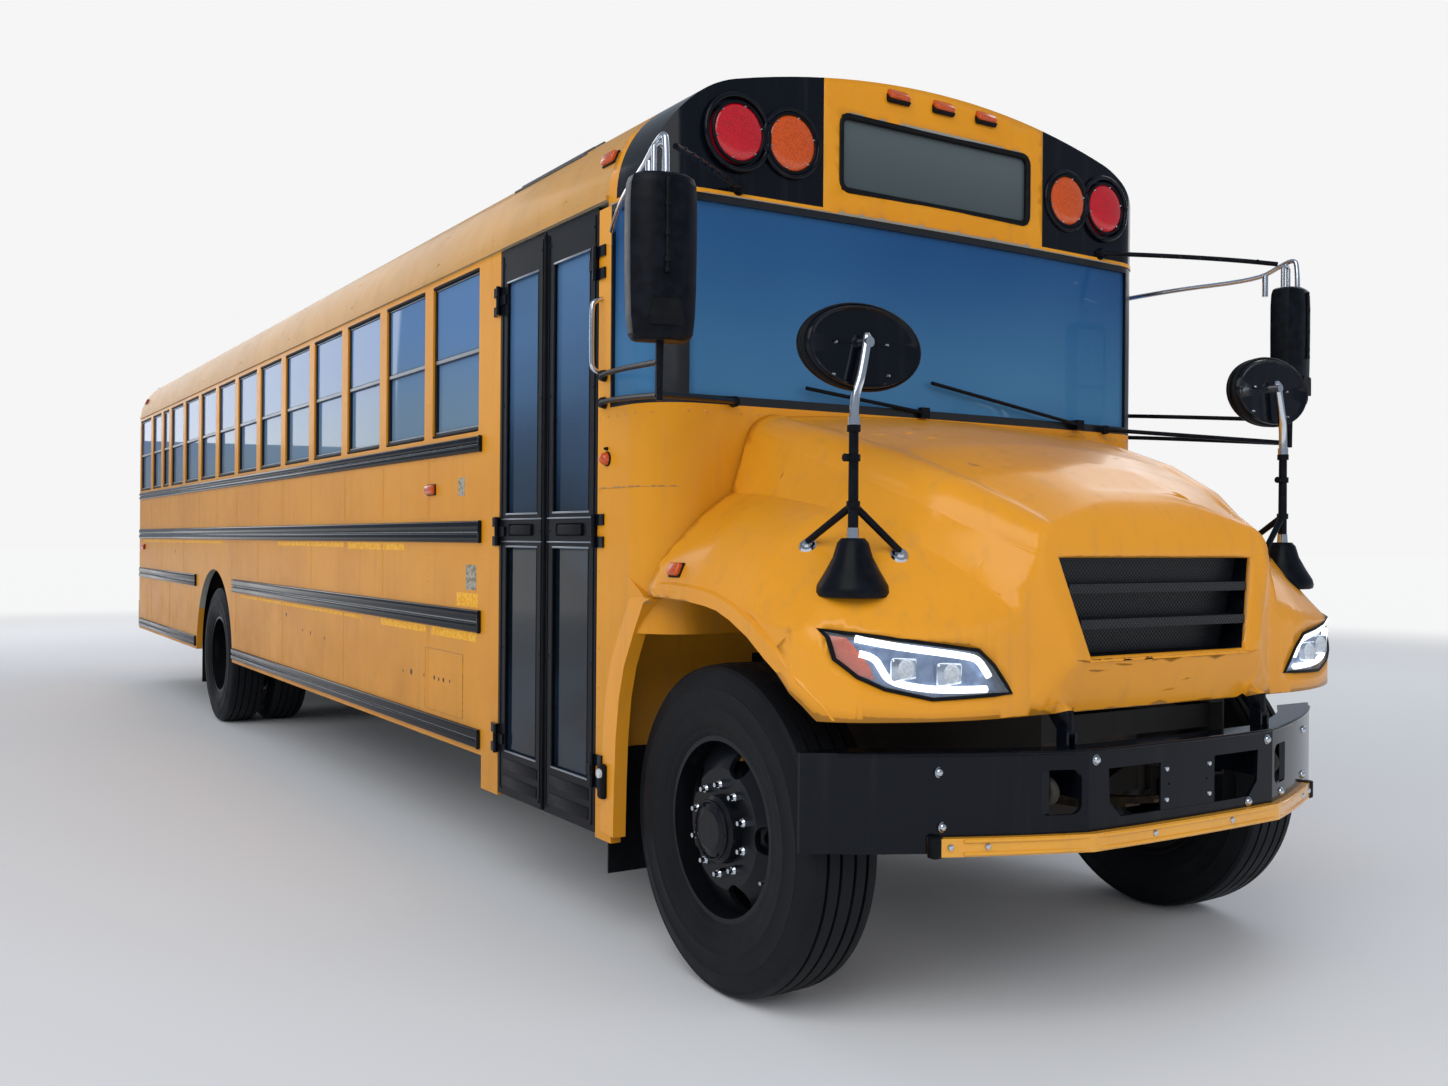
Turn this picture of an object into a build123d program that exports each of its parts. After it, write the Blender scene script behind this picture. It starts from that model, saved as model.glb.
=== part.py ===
"""School bus with a front engine, long hood and 14 windows a side, as separate named pieces.

Millimetres. X runs forward, Y to the driver's side, Z up. The origin is on the road, under the
middle of the bus. The smallest word for a place along the bus is its X, across it Y, and up it Z.
"""
import os
from math import atan2, cos, pi, radians, sin, sqrt

from build123d import *

# Overall layout
total_length = 12040
body_width = 2438
roof_z = 3150
front_overhang = 940
wheelbase = 7310
rear_bumper_depth = 120
wall_t = 45
roof_t = 45

# Heights of the body
gutter_z = 2650
window_sill_z = 1915
floor_z = 1060
floor_t = 40
skirt_z = 520
step_panel_z = 380
frame_top_z = 930

# Roof section and the rounded plan of the front
roof_corner_r = 400
front_corner_r = 190
front_bow = 25
cap_length = 350

# Places along the bus, from the front axle backwards
windshield_setback = 260
door_setback = 420
door_width = 900
rear_post_w = 180
window_pitch = 683
window_count = 11
window_post_w = 110
# Widths of the three odd bays at the rear, front one first
rear_bays = (417, 575, 715)
window_top_gap = 25
sash_w = 22
sash_t = 30
sash_rail_z = 2270
glass_t = 6

# Wheels and axles
tyre_r = 527
tyre_w = 280
rim_r = 292
rim_t = 12
front_tyre_face_y = 1150
rear_tyre_face_y = 1200
dual_spacing = 330
kingpin_y = 835
kingpin_r = 22
spindle_r = 38
axle_end_r = 48
run_gap = 0.4
rear_arch_r = 670

# Running gear
rail_y = 432
rail_h = 254
rail_flange = 76
rail_t = 10
frame_front_setback = 220
frame_rear_setback = 260

bumper_bracket_w = 40
bumper_bracket_h = 100
bumper_bracket_z = 750

# Clearances
door_gap = 6
seat_gap = 0.3
hood_gap = 8

# Hinges of the doors, the hood, the stop arm and the hatches
hinge_r = 9
pin_r = 4
pin_gap = 0.3
knuckle_h = 40
hinge_plate = 60

half_length = total_length / 2
half_width = body_width / 2
front_axle_x = half_length - front_overhang
rear_axle_x = front_axle_x - wheelbase
body_rear_x = -half_length + rear_bumper_depth
frame_front_x = half_length - frame_front_setback
frame_rear_x = -half_length + frame_rear_setback
windshield_x = front_axle_x - windshield_setback
cap_rear_x = windshield_x - cap_length
door_front_x = windshield_x - door_setback
door_rear_x = door_front_x - door_width
first_window_x = door_rear_x - rear_post_w
inner_y = half_width - wall_t
crown_r = ((half_width - roof_corner_r) ** 2 + (roof_z - gutter_z) ** 2 - roof_corner_r ** 2) / (
    2 * (roof_z - gutter_z - roof_corner_r)
)
crown_angle = atan2(gutter_z - roof_z + crown_r, half_width - roof_corner_r)
bow_r = ((half_width - front_corner_r) ** 2 + front_bow ** 2) / (2 * front_bow)
rail_inside_y = rail_y - rail_t - seat_gap
bumper_bracket_y = rail_inside_y - bumper_bracket_w / 2

os.makedirs("parts", exist_ok=True)


def block(low, high, mode=Mode.ADD):
    """A plain box between two corners."""
    size = [b - a for a, b in zip(low, high)]
    middle = [(a + b) / 2 for a, b in zip(low, high)]
    with Locations(tuple(middle)):
        Box(*size, mode=mode)


def rod(points, radius, bend):
    """A round bar along straight runs joined by arcs."""
    with BuildLine() as path:
        if len(points) > 2:
            FilletPolyline(*points, radius=bend)
        else:
            Line(*points)
    with BuildSketch(Plane(origin=path.line @ 0, z_dir=path.line % 0)) as section:
        Circle(radius)
    sweep(section.sketch, path=path.line)


def hinge_pins(axis, low, high, heights):
    """Fixed half of an upright hinge: pins, their end knuckles, and plates between two plan corners."""
    for z in heights:
        with Locations((*axis, z)):
            Cylinder(pin_r, 3 * knuckle_h)
        for step in (-knuckle_h, knuckle_h):
            with Locations((*axis, z + step)):
                Cylinder(hinge_r, knuckle_h)
            block((*low, z + step - knuckle_h / 2), (*high, z + step + knuckle_h / 2))


def hinge_knuckles(axis, low, high, heights):
    """Moving half of an upright hinge: a bored knuckle and its plate between each pin's ends."""
    half = knuckle_h / 2 - seat_gap
    for z in heights:
        block((*low, z - half), (*high, z + half))
        with Locations((*axis, z)):
            Cylinder(hinge_r, 2 * half)
            Cylinder(pin_r + pin_gap, 2 * knuckle_h, mode=Mode.SUBTRACT)


def bow_x(y):
    """X of the bowed windshield face at a place across the bus."""
    return windshield_x + front_bow - bow_r + sqrt(bow_r**2 - y**2)


def save(builder, name):
    """Label a finished piece and write it under its node's name."""
    builder.part.label = name
    export_step(builder.part, f"parts/{name}.step")


def body_outline(inset, base_z):
    """Closed section of the body above base_z, inset evenly from the outer skin."""
    half = half_width - inset
    corner_y = half_width - roof_corner_r
    radius = roof_corner_r - inset
    bend = (corner_y + radius * cos(crown_angle / 2), gutter_z + radius * sin(crown_angle / 2))
    joint = (corner_y + radius * cos(crown_angle), gutter_z + radius * sin(crown_angle))
    if base_z < gutter_z:
        Polyline((-half, gutter_z), (-half, base_z), (half, base_z), (half, gutter_z))
    else:
        Line((-half, gutter_z), (half, gutter_z))
    ThreePointArc((half, gutter_z), bend, joint)
    ThreePointArc(joint, (0, roof_z - inset), (-joint[0], joint[1]))
    ThreePointArc((-joint[0], joint[1]), (-bend[0], bend[1]), (-half, gutter_z))


def front_outline(inset, rear_x):
    """Closed plan of the rounded body front ahead of rear_x."""
    half = half_width - inset
    centre_x = windshield_x - front_corner_r
    centre_y = half_width - front_corner_r
    radius = front_corner_r - inset
    bend = (centre_x + radius * cos(pi / 4), centre_y + radius * sin(pi / 4))
    joint = (centre_x + radius, centre_y)
    Line((rear_x, half), (rear_x, -half))
    Line((rear_x, -half), (centre_x, -half))
    ThreePointArc((centre_x, -half), (bend[0], -bend[1]), (joint[0], -joint[1]))
    ThreePointArc((joint[0], -joint[1]), (windshield_x + front_bow - inset, 0), joint)
    ThreePointArc(joint, bend, (centre_x, half))
    Line((centre_x, half), (rear_x, half))


def front_shell(low_z, high_z, outer, inner, rear_x):
    """The band of the body front between two insets, open at the rear."""
    with BuildSketch(Plane.XY.offset(low_z)) as band:
        with BuildLine():
            front_outline(outer, rear_x)
        make_face()
        with BuildLine():
            front_outline(inner, rear_x)
        make_face(mode=Mode.SUBTRACT)
    extrude(band.sketch, amount=high_z - low_z)


def side_plane(y):
    """A plane that faces the kerb side, drawn in X and Z."""
    return Plane(origin=(0, y, 0), x_dir=(1, 0, 0), z_dir=(0, -1, 0))


def window_bays():
    """X of the rear and front edge of each window opening, front window first."""
    edges = []
    front = first_window_x
    widths = [window_pitch] * window_count + list(rear_bays)
    for width in widths:
        edges.append((front - width + window_post_w / 2, front - window_post_w / 2))
        front -= width
    return edges


window_top_z = gutter_z - window_top_gap
driver_window = (door_rear_x + 70, door_front_x - 60)

# Roof with its drip rails and two hatch openings
hatch_size = 600
hatch_wall = 20
hatch_rise = 15
hatch_t = 30
hatch_centres = (1500, -3100)
hatch_over = 15
hatch_axis_x = hatch_size / 2 + hatch_over + 16
hatch_axis_z = roof_z + hatch_rise + 18
hatch_hinge_rows = (-150, 150)
drip_t = 12
drip_h = 18
with BuildPart() as roof:
    with BuildSketch(Plane.YZ.offset(body_rear_x + wall_t)):
        with BuildLine():
            body_outline(0, gutter_z)
        make_face()
        with BuildLine():
            body_outline(roof_t, gutter_z)
        make_face(mode=Mode.SUBTRACT)
    extrude(amount=cap_rear_x - body_rear_x - wall_t)
    for side in (-1, 1):
        outer = side * (half_width + drip_t)
        inner = side * (half_width - 5)
        block(
            (body_rear_x + wall_t, min(outer, inner), gutter_z + 2),
            (cap_rear_x, max(outer, inner), gutter_z + 2 + drip_h),
        )
    for x in hatch_centres:
        half = hatch_size / 2
        block((x - half, -half, roof_z - roof_t), (x + half, half, roof_z + hatch_rise))
        open_half = half - hatch_wall
        block(
            (x - open_half, -open_half, roof_z - 2 * roof_t),
            (x + open_half, open_half, roof_z + 2 * hatch_rise),
            Mode.SUBTRACT,
        )
        for y in hatch_hinge_rows:
            for near in (y - 1.5 * knuckle_h, y + 0.5 * knuckle_h):
                block(
                    (x + hatch_axis_x - hinge_r, near, roof_z - 10),
                    (x + hatch_axis_x + hinge_r, near + knuckle_h, hatch_axis_z),
                )
                with Locations((x + hatch_axis_x, near + knuckle_h / 2, hatch_axis_z)):
                    Cylinder(hinge_r, knuckle_h, rotation=(90, 0, 0))
        with Locations(*[(x + hatch_axis_x, y, hatch_axis_z) for y in hatch_hinge_rows]):
            Cylinder(pin_r, 2 * knuckle_h, rotation=(90, 0, 0))
save(roof, "roof")

# Roof hatches, each a shallow lid on its coaming
for name, x in zip(("roof_hatch_front", "roof_hatch_rear"), hatch_centres):
    with BuildPart() as hatch:
        half = hatch_size / 2 + hatch_over
        low = roof_z + hatch_rise + seat_gap
        block((x - half, -half, low), (x + half, half, low + hatch_t))
        fillet(hatch.edges().filter_by(Axis.Z), 40)
        chamfer(hatch.faces().sort_by(Axis.Z)[-1].edges(), 12)
        knuckle = knuckle_h / 2 - seat_gap
        for y in hatch_hinge_rows:
            block(
                (x + half - 20, y - knuckle, hatch_axis_z - hinge_r),
                (x + hatch_axis_x, y + knuckle, hatch_axis_z + hinge_r - 4),
            )
        with Locations(*[(x + hatch_axis_x, y, hatch_axis_z) for y in hatch_hinge_rows]):
            Cylinder(hinge_r, 2 * knuckle, rotation=(90, 0, 0))
            Cylinder(pin_r + pin_gap, 2 * knuckle_h, rotation=(90, 0, 0), mode=Mode.SUBTRACT)
    save(hatch, name)

# Side walls, each as thick as the whole wall, with windows and the rear arch cut
for name, side in (("side_wall_right", -1), ("side_wall_left", 1)):
    front_x = door_rear_x if side < 0 else door_front_x
    panel_x = first_window_x if side < 0 else door_front_x - door_width / 2
    with BuildPart() as wall:
        with BuildSketch(side_plane(side * half_width)):
            with BuildLine():
                Polyline(
                    (body_rear_x + wall_t, skirt_z),
                    (panel_x, skirt_z),
                    (panel_x, step_panel_z),
                    (front_x, step_panel_z),
                    (front_x, gutter_z),
                    (body_rear_x + wall_t, gutter_z),
                    close=True,
                )
            make_face()
            with Locations((rear_axle_x, tyre_r)):
                Circle(rear_arch_r, mode=Mode.SUBTRACT)
            bays = window_bays()
            if side > 0:
                bays.append(driver_window)
            for low_x, high_x in bays:
                with Locations(((low_x + high_x) / 2, (window_sill_z + window_top_z) / 2)):
                    RectangleRounded(high_x - low_x, window_top_z - window_sill_z, 18, mode=Mode.SUBTRACT)
        extrude(amount=side * wall_t)
    save(wall, name)

# Window sashes and their panes, one upper and one lower in each opening
sash_y = half_width - 10
upper_pane = (sash_rail_z + sash_w / 2, window_top_z - sash_w, 6)
lower_pane = (window_sill_z + sash_w, sash_rail_z - sash_w / 2, 14)


def side_bays(side):
    """Window openings of one side; the driver's side has the driver's window too."""
    return window_bays() + ([driver_window] if side > 0 else [])


with BuildPart() as window_frames:
    for side in (-1, 1):
        with BuildSketch(side_plane(side * sash_y)):
            for low_x, high_x in side_bays(side):
                with Locations(((low_x + high_x) / 2, (window_sill_z + window_top_z) / 2)):
                    RectangleRounded(high_x - low_x, window_top_z - window_sill_z, 18)
                for low_z, high_z, _ in (upper_pane, lower_pane):
                    with Locations(((low_x + high_x) / 2, (low_z + high_z) / 2)):
                        Rectangle(high_x - low_x - 2 * sash_w, high_z - low_z, mode=Mode.SUBTRACT)
        extrude(amount=side * sash_t)
save(window_frames, "window_frames")

# Rub rails: low Z, high Z, and whether the rear wheel arch breaks the rail
rail_rows = ((545, 627, True), (1043, 1140, True), (1432, 1527, False), (1825, 1894, False))
rub_base = 6
rub_depth = 14
rub_rear_gap = 15
arch_rail_gap = 30


def rub_rail_section(side, low_z, high_z):
    """One rail's section: a flat base with two raised ribs."""
    rib = (high_z - low_z) * 0.32
    with Locations((side * (half_width + rub_base / 2), (low_z + high_z) / 2)):
        Rectangle(rub_base, high_z - low_z)
    with Locations(
        *[(side * (half_width + rub_depth / 2), z) for z in (low_z + rib * 0.7, high_z - rib * 0.7)]
    ):
        Rectangle(rub_depth, rib)


with BuildPart() as rub_rails:
    rear_x = body_rear_x + wall_t + rub_rear_gap
    reach = rear_arch_r + arch_rail_gap
    for side, front_x in ((-1, first_window_x - 20), (1, door_front_x - 20)):
        for low_x, high_x, wanted in (
            (rear_x, front_x, False),
            (rear_x, rear_axle_x - reach, True),
            (rear_axle_x + reach, front_x, True),
        ):
            with BuildSketch(Plane.YZ.offset(low_x)):
                for low_z, high_z, broken in rail_rows:
                    if broken == wanted:
                        rub_rail_section(side, low_z, high_z)
            extrude(amount=high_x - low_x)

# Rear wall with the emergency doorway and two fixed windows
rear_door_w = 910
rear_door_low_z = 1075
rear_door_high_z = 2480
rear_window_w = 420
rear_window_low_z = 1860
rear_window_high_z = 2440
rear_window_y = 770
rear_window_places = [
    (side * rear_window_y, (rear_window_low_z + rear_window_high_z) / 2) for side in (-1, 1)
]
rear_plane = Plane(origin=(body_rear_x, 0, 0), x_dir=(0, 1, 0), z_dir=(1, 0, 0))
with BuildPart() as rear_wall:
    with BuildSketch(rear_plane):
        with BuildLine():
            body_outline(0, skirt_z)
        make_face()
        with Locations((0, (rear_door_low_z + rear_door_high_z) / 2)):
            Rectangle(rear_door_w, rear_door_high_z - rear_door_low_z, mode=Mode.SUBTRACT)
        with Locations(*rear_window_places):
            RectangleRounded(rear_window_w, rear_window_high_z - rear_window_low_z, 40, mode=Mode.SUBTRACT)
        with Locations((bumper_bracket_y, bumper_bracket_z), (-bumper_bracket_y, bumper_bracket_z)):
            Rectangle(bumper_bracket_w + 10, bumper_bracket_h + 10, mode=Mode.SUBTRACT)
    extrude(amount=wall_t)
save(rear_wall, "rear_wall")

# Fixed panes of both sides and the rear
with BuildPart() as body_glass:
    for side in (-1, 1):
        for low_z, high_z, depth in (upper_pane, lower_pane):
            with BuildSketch(side_plane(side * (sash_y - depth))):
                for low_x, high_x in side_bays(side):
                    with Locations(((low_x + high_x) / 2, (low_z + high_z) / 2)):
                        Rectangle(high_x - low_x - 2 * sash_w, high_z - low_z)
            extrude(amount=side * glass_t)
    with BuildSketch(rear_plane.offset(15)):
        with Locations(*rear_window_places):
            RectangleRounded(rear_window_w, rear_window_high_z - rear_window_low_z, 40)
    extrude(amount=glass_t)
save(body_glass, "body_glass")

# Emergency door in the rear wall, an upper and a lower pane
door_pane_rows = ((rear_door_low_z + 130, 1640), (rear_window_low_z, rear_window_high_z - 60))
rear_pane_w = 640
hinge_leaf = 8
rear_hinge = (body_rear_x - 12, door_gap / 2 - rear_door_w / 2)
rear_hinge_heights = (1250, 1750, 2300)
with BuildPart() as emergency_door:
    with BuildSketch(rear_plane):
        with Locations((0, (rear_door_low_z + rear_door_high_z) / 2)):
            Rectangle(rear_door_w - 2 * door_gap, rear_door_high_z - rear_door_low_z - 2 * door_gap)
        for low_z, high_z in door_pane_rows:
            with Locations((0, (low_z + high_z) / 2)):
                RectangleRounded(rear_pane_w, high_z - low_z, 30, mode=Mode.SUBTRACT)
    extrude(amount=wall_t)
    hinge_knuckles(
        rear_hinge,
        (body_rear_x - hinge_leaf, rear_hinge[1]),
        (body_rear_x + 1, rear_hinge[1] + hinge_plate),
        rear_hinge_heights,
    )
save(emergency_door, "emergency_door")

with BuildPart() as emergency_glass:
    with BuildSketch(rear_plane.offset(15)):
        for low_z, high_z in door_pane_rows:
            with Locations((0, (low_z + high_z) / 2)):
                RectangleRounded(rear_pane_w, high_z - low_z, 30)
    extrude(amount=glass_t)
save(emergency_glass, "emergency_glass")

# Entrance door, two leaves hinged at their outer edges
door_low_z = 395
door_top_gap = 8
door_rim = 62
door_band_low_z = 1425
door_band_high_z = 1545
kick_h = 175
meeting_gap = 7
leaf_w = door_width / 2 - door_gap - meeting_gap
entrance_hinge_y = -half_width - 14
entrance_hinge_x = (door_front_x - door_gap + 1, door_rear_x + door_gap - 1)
entrance_hinge_heights = (620, 1480, 2440)
# Each leaf's name, its glass, the middle of the leaf, its hinge line, and the way from the hinge to the leaf
leaf_rows = (
    ("door_leaf_front", "door_glass_front", door_front_x - door_gap - leaf_w / 2, entrance_hinge_x[0], -1),
    ("door_leaf_rear", "door_glass_rear", door_rear_x + door_gap + leaf_w / 2, entrance_hinge_x[1], 1),
)
leaf_panes = ((door_low_z + kick_h, door_band_low_z), (door_band_high_z, gutter_z - door_top_gap - 130))
for leaf_name, glass_name, middle_x, hinge_x, way in leaf_rows:
    with BuildPart() as leaf:
        with BuildSketch(side_plane(-half_width)):
            with Locations((middle_x, (door_low_z + gutter_z - door_top_gap) / 2)):
                Rectangle(leaf_w, gutter_z - door_top_gap - door_low_z)
            for low_z, high_z in leaf_panes:
                with Locations((middle_x, (low_z + high_z) / 2)):
                    RectangleRounded(leaf_w - 2 * door_rim, high_z - low_z, 15, mode=Mode.SUBTRACT)
        extrude(amount=-wall_t)
        near, far = sorted((hinge_x, hinge_x + way * hinge_plate))
        hinge_knuckles(
            (hinge_x, entrance_hinge_y),
            (near, -half_width - hinge_leaf),
            (far, -half_width + 1),
            entrance_hinge_heights,
        )
    save(leaf, leaf_name)
    with BuildPart() as leaf_glass:
        with BuildSketch(side_plane(-half_width + 15)):
            for low_z, high_z in leaf_panes:
                with Locations((middle_x, (low_z + high_z) / 2)):
                    RectangleRounded(leaf_w - 2 * door_rim, high_z - low_z, 15)
        extrude(amount=-glass_t)
    save(leaf_glass, glass_name)

# Floor, wheel houses and entrance well
sill_w = 50
well_y = 560
house_half = 650
house_y = 560
house_top_z = 1230
house_t = 6
floor_front_x = door_front_x

# Floor panels, split at the wheel houses and at the entrance, each with its sills
floor_panels = (
    (body_rear_x + wall_t, rear_axle_x - house_half, -inner_y, inner_y),
    (rear_axle_x - house_half + seat_gap, rear_axle_x + house_half - seat_gap, -house_y, house_y),
    (rear_axle_x + house_half, door_rear_x - seat_gap, -inner_y, inner_y),
    (door_rear_x, floor_front_x, -well_y, inner_y),
)
with BuildPart() as floor:
    for low_x, high_x, low_y, high_y in floor_panels:
        block((low_x, low_y, floor_z - floor_t), (high_x, high_y, floor_z))
        sill_x = low_x + sill_w
        while sill_x < min(high_x - sill_w / 2, door_rear_x):
            block((sill_x - sill_w / 2, low_y, frame_top_z), (sill_x + sill_w / 2, high_y, floor_z - floor_t))
            sill_x += window_pitch
save(floor, "floor")

# Rear wheel houses: a top and three walls each
with BuildPart() as wheel_houses:
    low_x = rear_axle_x - house_half + seat_gap
    high_x = rear_axle_x + house_half - seat_gap
    wall_top_z = house_top_z - house_t - seat_gap
    for side in (-1, 1):
        near, far = sorted((side * (house_y + seat_gap), side * inner_y))
        block((low_x, near, house_top_z - house_t), (high_x, far, house_top_z))
        block((low_x, near, floor_z - floor_t), (low_x + house_t, far, wall_top_z))
        block((high_x - house_t, near, floor_z - floor_t), (high_x, far, wall_top_z))
        near, far = sorted((side * (house_y + seat_gap), side * (house_y + house_t)))
        block(
            (low_x + house_t + seat_gap, near, floor_z - floor_t),
            (high_x - house_t - seat_gap, far, wall_top_z),
        )
save(wheel_houses, "wheel_houses")

# Entrance steps: outer edge Y, inner edge Y and tread Z, lowest first
step_rows = ((inner_y - 20, 960, 410), (960 - seat_gap, 760, 627), (760 - seat_gap, well_y + seat_gap, 843))
step_t = 20
with BuildPart() as entrance_steps:
    for outer_y, edge_y, tread_z in step_rows:
        block((door_rear_x, -outer_y, tread_z - step_t), (door_front_x, -edge_y, tread_z))
    riser_tops = [tread_z for _, _, tread_z in step_rows[1:]] + [floor_z]
    for (_, edge_y, low_z), top_z in zip(step_rows, riser_tops):
        block((door_rear_x, -edge_y - step_t, low_z + seat_gap), (door_front_x, -edge_y, top_z))
save(entrance_steps, "entrance_steps")

cowl_low_z = 1130
leg_front_x = windshield_x - 60
leg_top_z = 1250
cowl_wall = 40
bulkhead_t = 40
splash_t = 20
arch_rear_reach = 560
arch_top_z = 1240
with BuildPart() as cowl:
    front_shell(cowl_low_z, window_sill_z, 0, cowl_wall, door_front_x)
    with BuildSketch(Plane.XY.offset(cowl_low_z)):
        with BuildLine():
            front_outline(cowl_wall, door_front_x)
        make_face()
    extrude(amount=30)
    for side in (-1, 1):
        with BuildSketch(side_plane(side * half_width)):
            with BuildLine():
                Polyline(
                    (door_front_x, step_panel_z),
                    (front_axle_x - arch_rear_reach, step_panel_z),
                    (front_axle_x - arch_rear_reach, arch_top_z - 300),
                    (front_axle_x - arch_rear_reach + 90, arch_top_z - 70),
                    (leg_front_x, arch_top_z),
                    (leg_front_x, leg_top_z),
                    (windshield_x - front_corner_r, leg_top_z + 80),
                    (door_front_x, leg_top_z + 80),
                    close=True,
                )
            make_face()
        extrude(amount=side * cowl_wall)
        near, far = sorted((side * well_y, side * (inner_y + 1)))
        block((door_front_x, near, step_panel_z + 20), (door_front_x + splash_t, far, cowl_low_z + 10))
    block(
        (door_front_x, -inner_y - 1, floor_z - floor_t),
        (door_front_x + bulkhead_t, inner_y + 1, cowl_low_z + 10),
    )
save(cowl, "cowl")

# Windshield frame with the corner posts, its glass and the quarter windows
frame_low_z = window_sill_z
frame_high_z = gutter_z - 20
glass_half_y = 1085
glass_low_z = 1945
glass_high_z = 2605
quarter_rear_x = windshield_x - 320
quarter_front_x = windshield_x - 75
windshield_wall = 40
with BuildPart() as windshield_frame:
    front_shell(frame_low_z, frame_high_z, 0, windshield_wall, door_front_x)
    block(
        (windshield_x - 150, -glass_half_y, glass_low_z),
        (windshield_x + 2 * front_bow, glass_half_y, glass_high_z),
        Mode.SUBTRACT,
    )
    for side in (-1, 1):
        near, far = sorted((side * 1110, side * (half_width + 10)))
        block((quarter_rear_x, near, glass_low_z), (quarter_front_x, far, glass_high_z), Mode.SUBTRACT)
save(windshield_frame, "windshield_frame")

with BuildPart() as windshield:
    front_shell(glass_low_z, glass_high_z, 14, 22, door_front_x)
    keep = [
        (
            (windshield_x - 150, -glass_half_y, glass_low_z),
            (windshield_x + 2 * front_bow, glass_half_y, glass_high_z),
        ),
        ((quarter_rear_x, -half_width, glass_low_z), (quarter_front_x, -1110, glass_high_z)),
        ((quarter_rear_x, 1110, glass_low_z), (quarter_front_x, half_width, glass_high_z)),
    ]
    with BuildPart(mode=Mode.INTERSECT):
        for low, high in keep:
            block(low, high)
save(windshield, "windshield")

# Front cap over the windshield, and the lamp pods at its corners
cap_wall = 60
cap_lip = 4
pod_inner_y = 550
pod_rear_x = windshield_x - 290
pod_low_z = 2645
sign_half_y = 470
sign_low_z = 2720
sign_high_z = 2995
red_y = 915
amber_y = 690
lamp_z = 2850
lamp_r = 105


def cap_block(inset):
    """The closed block of the cap, inset evenly."""
    with BuildSketch(Plane.YZ.offset(cap_rear_x)) as section:
        with BuildLine():
            body_outline(inset, frame_high_z)
        make_face()
    extrude(section.sketch, amount=2 * cap_length)
    with BuildSketch(Plane.XY.offset(frame_high_z)) as plan:
        with BuildLine():
            front_outline(inset - cap_lip, cap_rear_x)
        make_face()
    extrude(plan.sketch, amount=roof_z - frame_high_z, mode=Mode.INTERSECT)


with BuildPart() as cap_outer:
    cap_block(0)
with BuildPart() as cap_inner:
    cap_block(cap_wall)
with BuildPart() as pod_zone:
    for side in (-1, 1):
        near, far = sorted((side * pod_inner_y, side * 2 * half_width))
        block((pod_rear_x, near, pod_low_z), (windshield_x + 200, far, roof_z - 20))

with BuildPart() as front_cap:
    add(cap_outer.part)
    add(cap_inner.part, mode=Mode.SUBTRACT)
    add(pod_zone.part, mode=Mode.SUBTRACT)
    block(
        (windshield_x - 15, -sign_half_y, sign_low_z),
        (windshield_x + 200, sign_half_y, sign_high_z),
        Mode.SUBTRACT,
    )
save(front_cap, "front_cap")

with BuildPart() as sign_glass:
    block((windshield_x - 15, -sign_half_y, sign_low_z), (windshield_x + 8, sign_half_y, sign_high_z))
save(sign_glass, "sign_glass")

rear_pod_t = 30
rear_pod_margin = 30
with BuildPart() as lamp_pods:
    add(cap_outer.part)
    add(cap_inner.part, mode=Mode.SUBTRACT)
    add(pod_zone.part, mode=Mode.INTERSECT)
    with BuildSketch(Plane.YZ.offset(windshield_x - 20)):
        with Locations(*[(side * y, lamp_z) for side in (-1, 1) for y in (red_y, amber_y)]):
            Circle(lamp_r + seat_gap)
    extrude(amount=100, mode=Mode.SUBTRACT)
    for side in (-1, 1):
        reach = lamp_r + rear_pod_margin
        near, far = sorted((side * (amber_y - reach), side * (red_y + reach)))
        block((body_rear_x - rear_pod_t, near, lamp_z - reach), (body_rear_x, far, lamp_z + reach))
save(lamp_pods, "lamp_pods")

# Warning lamps: red outside, amber inside, at both ends of the roof
for name, y in (("red_lamps", red_y), ("amber_lamps", amber_y)):
    with BuildPart() as lamps:
        with BuildSketch(Plane.YZ.offset(windshield_x - 20)):
            with Locations((y, lamp_z), (-y, lamp_z)):
                Circle(lamp_r)
        extrude(amount=45)
        with BuildSketch(Plane.YZ.offset(body_rear_x - rear_pod_t)):
            with Locations((y, lamp_z), (-y, lamp_z)):
                Circle(lamp_r)
        extrude(amount=-18)
    save(lamps, name)

# Hood in one piece with its fenders. Each row: X ahead of the front axle, crown Z, crown edge Y and Z,
# shoulder Y and Z, crease Y and Z, fender bulge Y and Z, outer Y and Z
hood_rear_x = windshield_x - 60 + hood_gap
hood_t = 12
hood_low_z = 945
hood_round = 0.2
hood_rows = (
    (hood_rear_x - front_axle_x, 1930, 720, 1905, 870, 1825, 925, 1620, 1110, 1462, 1215, 1290),
    (0, 1858, 690, 1825, 850, 1745, 925, 1597, 1125, 1462, 1215, 1275),
    (290, 1785, 620, 1742, 790, 1650, 895, 1550, 1105, 1420, 1215, 1255),
    (540, 1697, 540, 1640, 700, 1545, 810, 1460, 1050, 1330, 1215, 1180),
    (690, 1622, 480, 1560, 600, 1465, 690, 1350, 950, 1240, 1180, 1110),
    (890, 1500, 440, 1455, 500, 1380, 540, 1150, 710, 1122, 900, 1060),
)
nose_flat_y = 430
nose_side_y = 560
nose_x = front_axle_x + 855
lip_x = front_axle_x + 800
brow_x = front_axle_x + 806


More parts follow.
